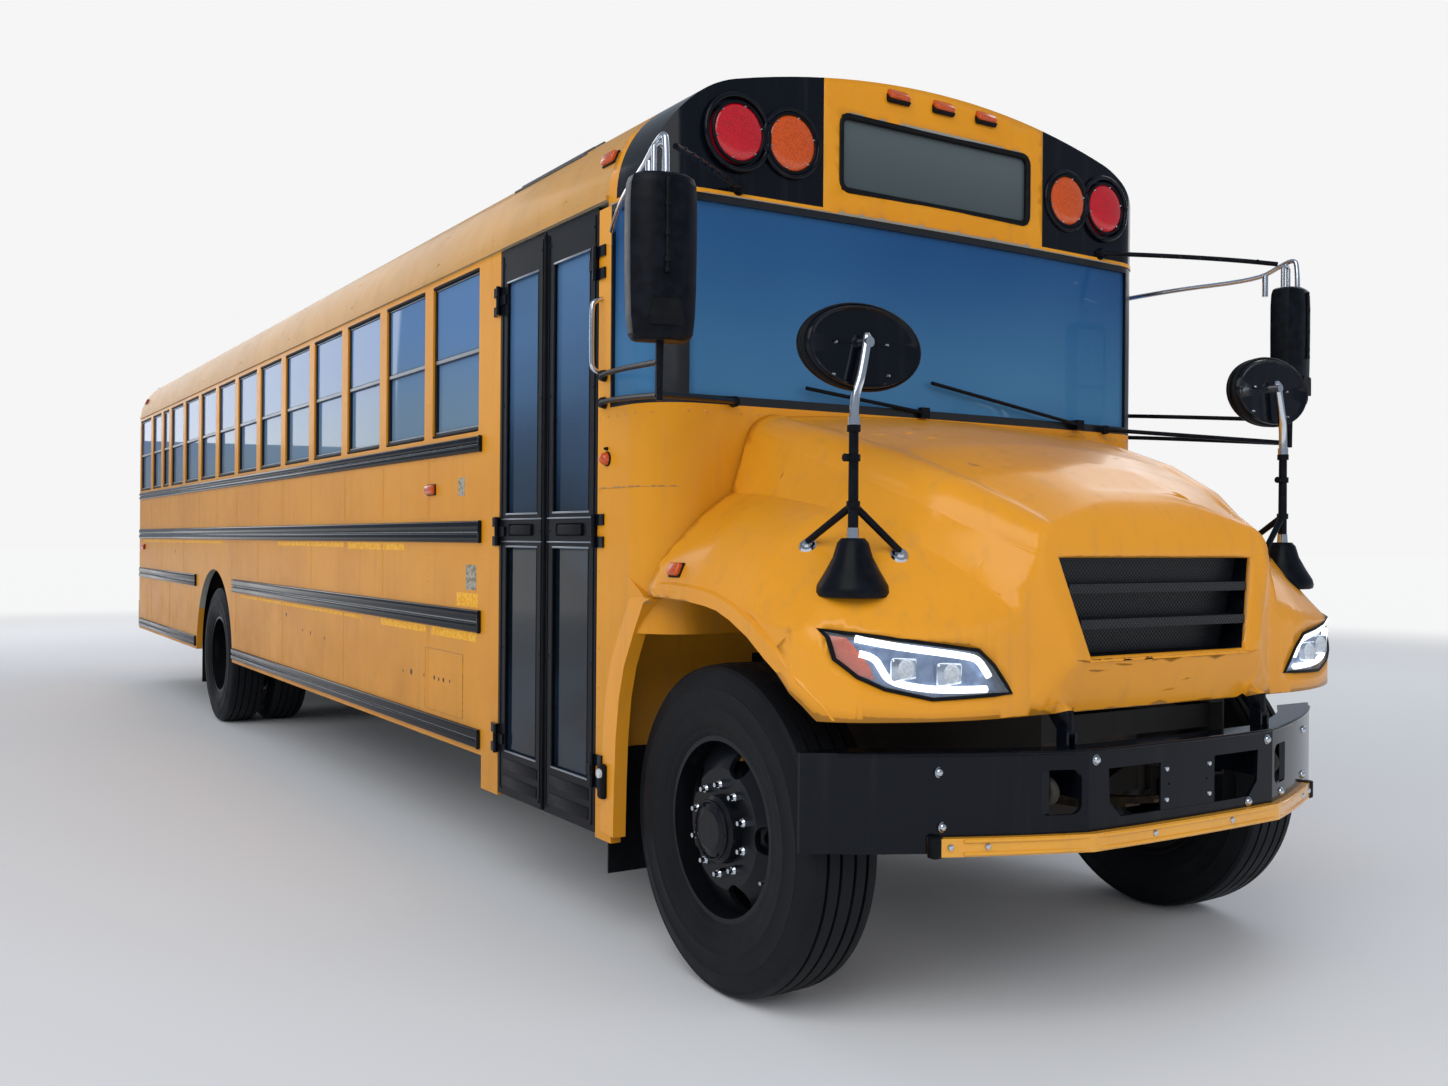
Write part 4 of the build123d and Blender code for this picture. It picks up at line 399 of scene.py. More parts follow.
def make_finishes(paint):
    """Fills the table of finishes from the user's colours."""
    body, hood, roof = tuple(paint.body), tuple(paint.hood), tuple(paint.roof)
    dust, black, tint = tuple(paint.dust), tuple(paint.black), tuple(paint.glass)
    cream = srgb(158, 160, 152)
    deep = srgb(206, 132, 18)
    finishes.update(
        # The body finish has the shaded copy of the yellow, and the hood and lip finishes have the lit copy, which is
        # painted light.
        body=painted("body_yellow", body, deep, dust, 0.3, 0.45, 0.12, cream, 1.5, 0.3, 0.12, 0.22),
        hood=painted(
            # srgb(186, 124, 28) is the hood's inner colour: a darker yellow on faces that look down or inwards, which
            # is painted shade.
            "hood_lit_yellow", hood, srgb(214, 140, 26), dust, 0.26, 0.40, 0.22, srgb(186, 124, 28), 0.9, 0.3, 0.14, 0.3
        ),
        lip=painted("lip_lit_yellow", hood, srgb(214, 140, 26), dust, 0.26, 0.40, 0.22, None, 0.9, 0.3, 0.14, 0.3),
        roof=painted("roof_yellow", roof, srgb(182, 134, 62), srgb(140, 128, 108), 0.4, 0.6, 0.15, inner=cream),
        strip=painted("strip_yellow", tuple(paint.strip), srgb(226, 150, 20), dust, 0.2, 0.3, 0.8, dust_top=0.7),
        black=painted(
            "gloss_black", black, srgb(8, 12, 20), srgb(60, 60, 62), 0.08, 0.16, 0.06, None, 0.6, 0.06, 0.03, 0.16
        ),
        rim=painted(
            "rim_black", srgb(8, 10, 14), srgb(16, 20, 28), srgb(60, 56, 50), 0.2, 0.32, 0.08, None, 1.0, 0.10, 0.06, 0.16
        ),
        satin=plain("satin_black", srgb(6, 9, 15), srgb(14, 18, 26), 0.36, bump=0.08, Specular_IOR_Level=0.12),
        chassis=painted("chassis_black", srgb(22, 22, 23), srgb(40, 38, 35), srgb(92, 80, 64), 0.5, 0.7, 0.0, dust_top=1.2),
        rubber=plain("black_rubber", srgb(8, 10, 14), srgb(16, 18, 22), 0.55, bump=0.15, Specular_IOR_Level=0.15),
        tyre=tyre_rubber("tyre_rubber"),
        # The second colour of each glass, used towards its top, is a painted sky reflection.
        side_glass=glazed("side_glass", srgb(112, 142, 166), srgb(92, 138, 194), 0.80, 1.95, 2.5),
        front_glass=glazed("windshield_glass", srgb(70, 124, 168), srgb(34, 82, 136), 0.80, 1.95, 2.60),
        door_glass=glazed("door_glass", srgb(16, 24, 32), srgb(84, 124, 168), 0.84, 1.3, 2.5),
        sign=glazed("sign_glass", srgb(70, 80, 82), srgb(84, 94, 98), 1.0, 2.7, 3.0),
        chrome=metal("chrome", srgb(214, 220, 228), 0.06),
        alu=metal("bare_aluminium", srgb(178, 184, 192), 0.28, (0.1, 1, 1)),
        sash=metal("dark_sash", srgb(54, 58, 64), 0.34),
        steel=plain("spring_steel", srgb(60, 56, 52), srgb(92, 70, 50), 0.6, 20.0, Metallic=0.7),
        iron=plain("cast_iron", srgb(62, 62, 64), srgb(86, 74, 62), 0.65, 15.0, 0.6, 160.0, Metallic=0.4),
        # The last number of each lens is the strength of its painted glow.
        red=lens("red_lens", srgb(200, 6, 26), srgb(110, 0, 10), 0.12),
        amber=lens("amber_lens", srgb(214, 84, 0), srgb(132, 40, 0), 0.06),
        clear=lens("clear_lens", srgb(206, 212, 218), srgb(150, 158, 166), 0.05),
        lamp_back=plain("lamp_housing", srgb(88, 110, 146), srgb(120, 140, 172), 0.3, Metallic=0.5),
        light=glow("light_guide", srgb(255, 255, 255), 1.6),
        projector=metal("projector_bezel", srgb(200, 210, 224), 0.12),
        # The cover's second colour, towards its top, is a painted reflection.
        cover=glazed("lamp_cover", srgb(200, 212, 226), srgb(220, 228, 236), 0.12, 1.0, 1.2),
        mesh=mesh_grille("grille_mesh"),
        # The grille bars' blue-grey is a painted highlight: the sky seen on the bars.
        bar=plain("grille_bar_sky_sheen", srgb(46, 56, 72), srgb(64, 76, 96), 0.35),
        seat=vinyl("seat_vinyl", srgb(52, 60, 66), srgb(74, 82, 86)),
        grey=plain("grey_plastic", srgb(60, 62, 66), srgb(78, 80, 84), 0.5),
        floor=ribbed("ribbed_floor", srgb(36, 37, 38), srgb(72, 68, 62), 60),
        stop=painted("stop_red", srgb(196, 24, 28), srgb(168, 18, 24), dust, 0.3, 0.4, 0.4),
        white=plain("white_border", srgb(222, 222, 216), srgb(196, 196, 190), 0.4),
        bright=patched("bright_yellow_patch", srgb(250, 184, 8), srgb(232, 158, 14)),
        decal=patched("grey_decal", srgb(168, 162, 146), srgb(120, 112, 94)),
        rust=patched("rust", srgb(86, 50, 24), srgb(36, 24, 16)),
        ghost=patched("ghost_mark", srgb(150, 118, 70), srgb(212, 146, 44)),
        surround=frame_paint("window_surround", srgb(10, 12, 16), body),
        mirror=metal("mirror_glass", srgb(226, 230, 234), 0.02),
    )


node_finishes = {
    "chassis_frame": "chassis", "front_axle": "chassis", "driveline": "chassis", "leaf_springs": "steel",
    "engine": "iron", "fuel_tank": "chassis", "exhaust": "steel", "floor": "floor", "wheel_houses": "floor",
    "entrance_steps": "floor", "side_wall_right": "body", "side_wall_left": "body", "roof": "roof",
    "front_cap": "body", "lamp_pods": "black", "red_lamps": "red", "amber_lamps": "amber", "sign_glass": "sign",
    "cowl": "body", "windshield_frame": "surround", "windshield": "front_glass", "window_frames": "sash",
    "body_glass": "side_glass", "side_trim": "black", "rear_wall": "body", "bumpers": "black",
    "bumper_strip": "strip", "seats": "seat", "seat_frames": "chassis", "dashboard": "grey",
    "rear_view_mirrors": "satin", "wipers": "satin", "mud_flaps": "rubber", "hood": "hood", "grille": "mesh",
    "headlamps": "clear", "cross_mirrors": "black", "cross_mirror_arms": "satin", "door_leaf_front": "satin",
    "door_glass_front": "door_glass", "door_leaf_rear": "satin", "door_glass_rear": "door_glass",
    "emergency_door": "body", "emergency_glass": "side_glass", "roof_hatch_front": "roof",
    "roof_hatch_rear": "roof", "stop_arm": "stop", "knuckle_right": "chassis", "knuckle_left": "chassis",
    "tie_rod": "chassis", "front_wheel_right": "rim", "front_wheel_left": "rim", "front_tyre_right": "tyre",
    "front_tyre_left": "tyre", "rear_wheels_right": "rim", "rear_wheels_left": "rim", "rear_tyres_right": "tyre",
    "rear_tyres_left": "tyre",
}


# Mesh helpers


def box(bm, low, high, edge=0.0, segments=2):
    """A block between two corners with rounded edges."""
    low, high = Vector(low), Vector(high)
    size = high - low
    matrix = Matrix.LocRotScale((low + high) / 2, None, size)
    verts = bmesh.ops.create_cube(bm, size=1.0, matrix=matrix)["verts"]
    if edge:
        edges = list({line for vert in verts for line in vert.link_edges})
        bmesh.ops.bevel(bm, geom=edges, offset=edge, segments=segments, profile=0.5, affect="EDGES", material=-1)


def rod(bm, start, end, radius, far_radius=None, sides=16):
    """A round bar or cone between two points."""
    start, end = Vector(start), Vector(end)
    way = end - start
    matrix = Matrix.Translation((start + end) / 2) @ way.to_track_quat("Z", "Y").to_matrix().to_4x4()
    far = radius if far_radius is None else far_radius
    bmesh.ops.create_cone(
        bm, cap_ends=True, segments=sides, radius1=radius, radius2=far, depth=way.length, matrix=matrix
    )


def turned(bm, profile, centre, axis, steps=48):
    """A profile of (along, out) pairs spun round an axis."""
    axis = Vector(axis).normalized()
    out = axis.orthogonal().normalized()
    centre = Vector(centre)
    verts = [bm.verts.new(centre + axis * along + out * reach) for along, reach in profile]
    edges = [bm.edges.new(pair) for pair in zip(verts, verts[1:])]
    bmesh.ops.spin(
        bm, geom=verts + edges, cent=centre, axis=axis, angle=math.tau, steps=steps, use_merge=True, use_duplicate=False
    )


def joined(made, bm):
    """Moves a small mesh into another."""
    mesh = bpy.data.meshes.new("part")
    made.to_mesh(mesh)
    made.free()
    bm.from_mesh(mesh)
    bpy.data.meshes.remove(mesh)


def slab(bm, outline, push, round_off=0.0, segments=4):
    """A flat outline pushed into a plate, its corners rounded first."""
    made = bmesh.new()
    verts = [made.verts.new(point) for point in outline]
    made.faces.new(verts)
    if round_off:
        bmesh.ops.bevel(
            made, geom=verts, offset=round_off, segments=segments, profile=0.5, affect="VERTICES", material=-1
        )
    pushed = bmesh.ops.extrude_face_region(made, geom=made.faces[:])["geom"]
    bmesh.ops.translate(made, vec=push, verts=[one for one in pushed if isinstance(one, bmesh.types.BMVert)])
    joined(made, bm)


def tube(bm, points, radius, smooth=True, closed=False, sides=3):
    """A round tube along points."""
    line = bpy.data.curves.new("line", "CURVE")
    line.dimensions = "3D"
    line.bevel_depth = radius
    line.bevel_resolution = sides
    line.resolution_u = 5
    line.use_fill_caps = True
    spline = line.splines.new("NURBS" if smooth else "POLY")
    spline.points.add(len(points) - 1)
    for spot, point in zip(spline.points, points):
        spot.co = (*point, 1)
    if smooth:
        spline.order_u = 3
        spline.use_endpoint_u = not closed
    spline.use_cyclic_u = closed
    holder = bpy.data.objects.new("line", line)
    mesh = bpy.data.meshes.new_from_object(holder)
    bm.from_mesh(mesh)
    bpy.data.objects.remove(holder)
    bpy.data.meshes.remove(mesh)
    bpy.data.curves.remove(line)


def ring(bm, centre, axis, radius, thick, steps=32, sides=8):
    """A round ring of round section."""
    profile = [
        (thick * math.sin(turn * math.tau / sides), radius + thick * math.cos(turn * math.tau / sides))
        for turn in range(sides + 1)
    ]
    turned(bm, profile, centre, axis, steps)


def screw(bm, centre, axis, radius, rise, sides=8):
    """A low round screw or rivet head."""
    centre, axis = Vector(centre), Vector(axis).normalized()
    rod(bm, centre, centre + axis * rise, radius, radius * 0.62, sides)


def piece(name, bm, body, finish, angle=38):
    """Makes the finished object and lets it ride on its body."""
    bmesh.ops.remove_doubles(bm, verts=bm.verts, dist=0.00002)
    bmesh.ops.recalc_face_normals(bm, faces=bm.faces)
    mesh = bpy.data.meshes.new(name)
    bm.to_mesh(mesh)
    bm.free()
    mesh.materials.append(finishes[finish])
    mesh.shade_smooth()
    mesh.set_sharp_from_angle(angle=math.radians(angle))
    made = bpy.data.objects.new(name, mesh)
    bpy.context.scene.collection.objects.link(made)
    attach(made, body)
    return made


def skin_of(*names):
    """A search tree over the faces of some of the bus's solids."""
    bm = bmesh.new()
    for name in names:
        bm.from_mesh(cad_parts[name].data)
    tree = BVHTree.FromBMesh(bm)
    bm.free()
    return tree


def ahead(tree, y, z, lift=0.0):
    """The point of a skin seen from ahead at a place, lifted forward."""
    spot, normal, _, _ = tree.ray_cast(Vector((9, y, z)), Vector((-1, 0, 0)))
    return spot + Vector((lift, 0, 0)) if spot else None


def above(tree, x, y):
    """The point and normal of a skin seen from above."""
    spot, normal, _, _ = tree.ray_cast(Vector((x, y, 6)), Vector((0, 0, -1)))
    return spot, normal


def beside(tree, x, z, side):
    """The point and normal of a skin seen from one side."""
    spot, normal, _, _ = tree.ray_cast(Vector((x, side * 4, z)), Vector((0, -side, 0)))
    return spot, normal


def draped(bm, tree, outline, lift, cuts=3, thick=0.0):
    """A face drawn in Y and Z, cut finer, laid on a skin from ahead and given a wall."""
    verts = [bm.verts.new((9, y, z)) for y, z in outline]
    face = bm.faces.new(verts)
    made = bmesh.ops.triangulate(bm, faces=[face])
    edges = list({line for one in made["faces"] for line in one.edges})
    for _ in range(cuts):
        made = bmesh.ops.subdivide_edges(bm, edges=edges, cuts=1, use_grid_fill=True)
        edges = list({line for one in made["geom_inner"] + list(edges) if isinstance(one, bmesh.types.BMFace) for line in one.edges})
        if not edges:
            edges = [line for line in bm.edges if all(vert.co.x > 8.9 for vert in line.verts)]
    moved = [vert for vert in bm.verts if vert.co.x > 8.9]
    for vert in moved:
        spot = ahead(tree, vert.co.y, vert.co.z, lift)
        if spot is None:
            raise RuntimeError("a draped face misses its skin")
        vert.co = spot
    faces = list({one for vert in moved for one in vert.link_faces})
    if thick:
        bmesh.ops.recalc_face_normals(bm, faces=faces)
        bmesh.ops.solidify(bm, geom=faces, thickness=thick)


def softened(name, node, body, finish, longest, lock=50, cutter=None, shape=None):
    """A copy of a solid, cut and split finer, so that its shading turns softly over each crease."""
    bm = bmesh.new()
    bm.from_mesh(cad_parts[node].data)
    bmesh.ops.remove_doubles(bm, verts=bm.verts, dist=0.00002)
    if cutter:
        bm = carved(bm, cutter)
    if shape:
        shape(bm)
    for _ in range(8):
        edges = [line for line in bm.edges if line.calc_length() > longest]
        if not edges:
            break
        bmesh.ops.subdivide_edges(bm, edges=edges, cuts=1)
        bmesh.ops.triangulate(bm, faces=[face for face in bm.faces if len(face.verts) > 3])
        flat = [line for line in bm.edges if line.is_manifold and line.calc_face_angle() < 0.015]
        bmesh.ops.beautify_fill(bm, faces=bm.faces, edges=flat, method="ANGLE")
    made = piece(name, bm, body, finish, lock)
    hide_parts(node)
    return made


def carved(bm, cutter):
    """A closed mesh less the block that another mesh fills."""
    holders = []
    for label, one in (("carved", bm), ("cutter", cutter)):
        mesh = bpy.data.meshes.new(label)
        bmesh.ops.recalc_face_normals(one, faces=one.faces)
        one.to_mesh(mesh)
        one.free()
        holder = bpy.data.objects.new(label, mesh)
        bpy.context.scene.collection.objects.link(holder)
        holders.append(holder)
    cut = holders[0].modifiers.new("Cut", "BOOLEAN")
    cut.operation = "DIFFERENCE"
    cut.object = holders[1]
    mesh = bpy.data.meshes.new_from_object(holders[0].evaluated_get(bpy.context.evaluated_depsgraph_get()))
    out = bmesh.new()
    out.from_mesh(mesh)
    bpy.data.meshes.remove(mesh)
    for holder in holders:
        bpy.data.meshes.remove(holder.data)
    bmesh.ops.triangulate(out, faces=out.faces)
    return out


def window_bays():
    """X of the rear and front edge of each window opening, front window first."""
    edges = []
    front = first_window_x
    for width in window_widths:
        edges.append((front - width + window_post_w / 2, front - window_post_w / 2))
        front -= width
    return edges


# Operators


class BUS_OT_finishes(bpy.types.Operator):
    """Make the finishes and paint the bus's solids"""

    bl_idname = "bus.finishes"
    bl_label = "Finishes"

    def execute(self, context):
        make_finishes(context.scene.bus_paint)
        for name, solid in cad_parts.items():
            solid.data.materials.clear()
            solid.data.materials.append(finishes[node_finishes[name]])
        return {"FINISHED"}


class BUS_OT_panels(bpy.types.Operator):
    """Round the creases of the hood and the front cap, and add the arch lips"""

    bl_idname = "bus.panels"
    bl_label = "Body panels"

    # X and Z along the wheel opening, from its rear corner forward, and along the crease above it
    opening = (
        (4.802, 1.258), (4.920, 1.257), (5.040, 1.252), (5.130, 1.244), (5.200, 1.233), (5.287, 1.208),
        (5.385, 1.164), (5.478, 1.106), (5.567, 1.037), (5.630, 0.985), (5.668, 0.945),
    )
    crease = (
        (4.850, 1.314), (4.930, 1.315), (5.013, 1.312), (5.100, 1.305), (5.186, 1.293), (5.300, 1.264),
        (5.420, 1.214), (5.534, 1.143), (5.637, 1.053), (5.690, 0.995), (5.715, 0.950),
    )
    # X and Z along the front edge of the cowl's leg, from its top down
    leg = ((4.790, 1.250), (4.752, 1.238), (4.696, 1.152), (4.652, 1.075), (4.616, 1.010), (4.581, 0.899), (4.560, 0.760), (4.550, 0.600), (4.544, 0.405))

    def execute(self, context):
        cutter = bmesh.new()
        outline = [(4.700, 0.800), (4.700, 1.257), *self.opening, (5.700, 0.800)]
        for side in (-1, 1):
            slab(cutter, [(x, side * 1.300, z) for x, z in outline], (0, -side * 0.420, 0))
        hood = softened("hood_skin", "hood", "hood", "hood", 0.060, 48, cutter, self.grille_edge)
        hood.data.materials.append(finishes["satin"])
        for face in hood.data.polygons:
            spot = face.center
            tab = 0.400 < abs(spot.y) < 0.482 and spot.z < 0.952 and spot.x > 5.70
            tunnel = abs(spot.y) < 0.452 and 1.106 < spot.z < 1.410 and face.normal.x < 0.15 and spot.x > 5.75
            if tab or tunnel:
                face.material_index = 1
        softened("cap_skin", "front_cap", "root", "body", 0.070, 42)
        self.lips()
        return {"FINISHED"}

    def grille_edge(self, bm):
        """Rounds the front edge of the grille's opening."""
        edges = []
        for line in bm.edges:
            middle = (line.verts[0].co + line.verts[1].co) / 2
            near = abs(middle.y) < 0.455 and 1.105 < middle.z < 1.411 and middle.x > 5.80
            if near and line.is_manifold and line.calc_face_angle() > 0.9:
                if sum(face.normal.x > 0.6 for face in line.link_faces) == 1:
                    edges.append(line)
        bmesh.ops.bevel(bm, geom=edges, offset=0.016, segments=4, profile=0.5, affect="EDGES", material=-1)
        bmesh.ops.triangulate(bm, faces=[face for face in bm.faces if len(face.verts) > 3])

    def lips(self):
        """The flared lip round each front wheel opening and down the cowl's leg."""
        tree = skin_of("hood")
        for word, side in (("right", -1), ("left", 1)):
            bm = bmesh.new()
            rows = []
            for (x, z), (far_x, far_z) in zip(self.opening, self.crease):
                spot, _ = beside(tree, far_x, far_z, side)
                y = abs(spot.y) if spot else 1.200
                rows.append([
                    Vector((x, side * (y - 0.035), z)), Vector((x, side * (y + 0.010), z)),
                    Vector((x + (far_x - x) * 0.8, side * (y + 0.012), z + (far_z - z) * 0.8)),
                    Vector((far_x, side * (y - 0.004), far_z)),
                ])
            self.sheet(bm, rows, 0.007)
            piece("arch_lip_" + word, bm, "hood", "lip", 50)
            bm = bmesh.new()
            rows = []
            for x, z in self.leg:
                rows.append([
                    Vector((x + 0.004, side * 1.175, z)), Vector((x, side * (side_y + 0.004), z)),
                    Vector((x - 0.030, side * (side_y + 0.004), z + 0.004)), Vector((x - 0.125, side * (side_y - 0.001), z + 0.006)),
                ])
            self.sheet(bm, rows, 0.006)
            piece("leg_lip_" + word, bm, "root", "lip", 50)

    def sheet(self, bm, rows, thick):
        """Rows of points joined into a sheet and given a wall."""
        lines = []
        for row in rows:
            verts = [bm.verts.new(point) for point in row]
            lines.append([bm.edges.new(pair) for pair in zip(verts, verts[1:])])
        for near, far in zip(lines, lines[1:]):
            bmesh.ops.bridge_loops(bm, edges=near + far)
        bmesh.ops.recalc_face_normals(bm, faces=bm.faces)
        bmesh.ops.solidify(bm, geom=bm.faces[:], thickness=thick)


class BUS_OT_tyres(bpy.types.Operator):
    """Turn the tyres with tread grooves and sidewall rings"""

    bl_idname = "bus.tyres"
    bl_label = "Tyres"

    def execute(self, context):
        groove = context.scene.bus_sizes.groove
        rows = (
            ("front_tyre_right", "front_wheel_right", front_axle_x, -1, ((1.010),)),
            ("front_tyre_left", "front_wheel_left", front_axle_x, 1, ((1.010),)),
            ("rear_tyres_right", "rear_wheels_right", rear_axle_x, -1, (1.060, 0.730)),
            ("rear_tyres_left", "rear_wheels_left", rear_axle_x, 1, (1.060, 0.730)),
        )
        for node, body, x, side, centres in rows:
            bm = bmesh.new()
            for middle in centres if isinstance(centres, tuple) else (centres,):
                turned(bm, self.profile(groove), (x, side * middle, axle_z), (0, side, 0), 96)
            tyre = piece(node + "_tread", bm, body, "tyre", 30)
            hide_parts(node)
        return {"FINISHED"}

    def profile(self, groove):
        """The tyre's section: bead, sidewall rings, shoulder and grooved tread."""
        half = [
            (0.092, 0.291), (0.112, 0.296), (0.120, 0.306), (0.1245, 0.316), (0.1245, 0.322), (0.128, 0.326),
            (0.136, 0.366), (0.1385, 0.386), (0.1395, 0.388), (0.1395, 0.392), (0.1385, 0.394), (0.1388, 0.418),
            (0.1360, 0.446), (0.1368, 0.448), (0.1368, 0.452), (0.1345, 0.454), (0.128, 0.480), (0.122, 0.496),
            (0.119, 0.505), (0.1205, 0.508), (0.112, 0.5185), (0.1, 0.522), (0.078, 0.5245),
        ]
        grooves = (0.072, 0.026)
        tread = []
        for centre in grooves:
            for along, deep in ((0.0055, 0), (0.0038, 1), (-0.0038, 1), (-0.0055, 0)):
                reach = 0.527 - 0.0035 * (centre / 0.1) ** 2
                tread.append((centre + along, reach - deep * groove))
        outer = half + tread + [(0.0, 0.527)]
        inner = [(-along, reach) for along, reach in reversed(outer[:-1])]
        return outer + inner + [(-0.088, 0.286), (0.088, 0.286), (0.092, 0.291)]


class BUS_OT_wheel_nuts(bpy.types.Operator):
    """Add chrome nuts, rim lips, hub caps and valves to the wheels"""

    bl_idname = "bus.wheel_nuts"
    bl_label = "Wheel nuts"

    def execute(self, context):
        count = context.scene.bus_sizes.nuts
        rows = (
            ("right_front", "front_wheel_right", front_axle_x, -1, 1.010 + 0.082, 0.142),
            ("left_front", "front_wheel_left", front_axle_x, 1, 1.010 + 0.082, 0.142),
            ("right_rear", "rear_wheels_right", rear_axle_x, -1, 0.906, 0.142),
            ("left_rear", "rear_wheels_left", rear_axle_x, 1, 0.906, 0.142),
        )
        for name, body, x, side, face_y, circle in rows:
            bm = bmesh.new()
            for turn in range(count):
                angle = (turn + 0.5) * math.tau / count
                spot = Vector((x + circle * math.cos(angle), side * face_y, axle_z + circle * math.sin(angle)))
                out = Vector((0, side, 0))
                rod(bm, spot, spot + out * 0.006, 0.020, 0.019, 16)
                rod(bm, spot + out * 0.006, spot + out * 0.030, 0.0165, 0.0155, 6)
                rod(bm, spot + out * 0.030, spot + out * 0.036, 0.0150, 0.0110, 12)
                rod(bm, spot + out * 0.036, spot + out * 0.050, 0.0085, 0.0075, 12)
            piece("wheel_nuts_" + name, bm, body, "chrome", 30)
            bm = bmesh.new()
            rim_y = 1.060 + 0.088 if "rear" in name else 1.010 + 0.094
            ring(bm, (x, side * rim_y, axle_z), (0, side, 0), 0.296, 0.006, 72, 8)
            piece("rim_lip_" + name, bm, body, "rim", 60)
            bm = bmesh.new()
            hub_y = face_y + (0.062 if "front" in name else -0.012)
            centre = (x, side * hub_y, axle_z)
            for reach in (0.092, 0.074):
                ring(bm, centre, (0, side, 0), reach, 0.004, 40, 8)
            for turn in range(6):
                angle = turn * math.tau / 6
                spot = (x + 0.083 * math.cos(angle), side * hub_y, axle_z + 0.083 * math.sin(angle))
                screw(bm, spot, (0, side, 0), 0.006, 0.006, 6)
            piece("hub_cover_" + name, bm, body, "rim", 40)
            bm = bmesh.new()
            start = Vector((x + 0.20, side * (rim_y - 0.05), axle_z - 0.12))
            rod(bm, start, start + Vector((0.012, side * 0.045, -0.008)), 0.005, 0.005, 10)
            rod(bm, start + Vector((0.012, side * 0.045, -0.008)), start + Vector((0.014, side * 0.055, -0.009)), 0.0065, 0.006, 10)
            piece("valve_" + name, bm, body, "alu", 40)
        return {"FINISHED"}


class BUS_OT_rub_rails(bpy.types.Operator):
    """Add the rounded ribs, pale groove lines and end caps of the rub rails"""

    bl_idname = "bus.rub_rails"
    bl_label = "Rub rails"

    def execute(self, context):
        rear = -5.840
        arch_rear, arch_front = rear_axle_x - 0.700, rear_axle_x + 0.700
        ribs, lines, screws = bmesh.new(), bmesh.new(), bmesh.new()
        for side, front in ((-1, first_window_x - 0.020), (1, door_front_x - 0.020)):
            for low, high, broken in ((0.545, 0.627, True), (1.043, 1.140, True), (1.432, 1.527, False), (1.825, 1.894, False)):
                spans = ((rear, arch_rear), (arch_front, front)) if broken else ((rear, front),)
                for start, end in spans:
                    height = high - low
                    for low_share, high_share in ((0.02, 0.42), (0.54, 0.98)):
                        near, far = sorted((side * (side_y + 0.001), side * (side_y + 0.0165)))
                        box(ribs, (start, near, low + low_share * height), (end, far, low + high_share * height), 0.0075, 3)
                    near, far = sorted((side * (side_y + 0.004), side * (side_y + 0.0085)))
                    box(lines, (start + 0.004, near, low + 0.455 * height), (end - 0.02, far, low + 0.505 * height), 0.001, 1)
                    near, far = sorted((side * side_y, side * (side_y + 0.0175)))
                    box(ribs, (end - 0.006, near, low - 0.002), (end + 0.010, far, high + 0.002), 0.006, 3)
                    spot = start + 0.08
                    while spot < end - 0.05:
                        screw(screws, (spot, side * (side_y + 0.006), low + 0.48 * height), (0, side, 0), 0.005, 0.004, 6)
                        spot += 0.34
        piece("rub_rail_ribs", ribs, "root", "black", 50)
        piece("rub_rail_lines", lines, "root", "alu", 30)
        piece("rub_rail_screws", screws, "root", "alu", 30)
        return {"FINISHED"}


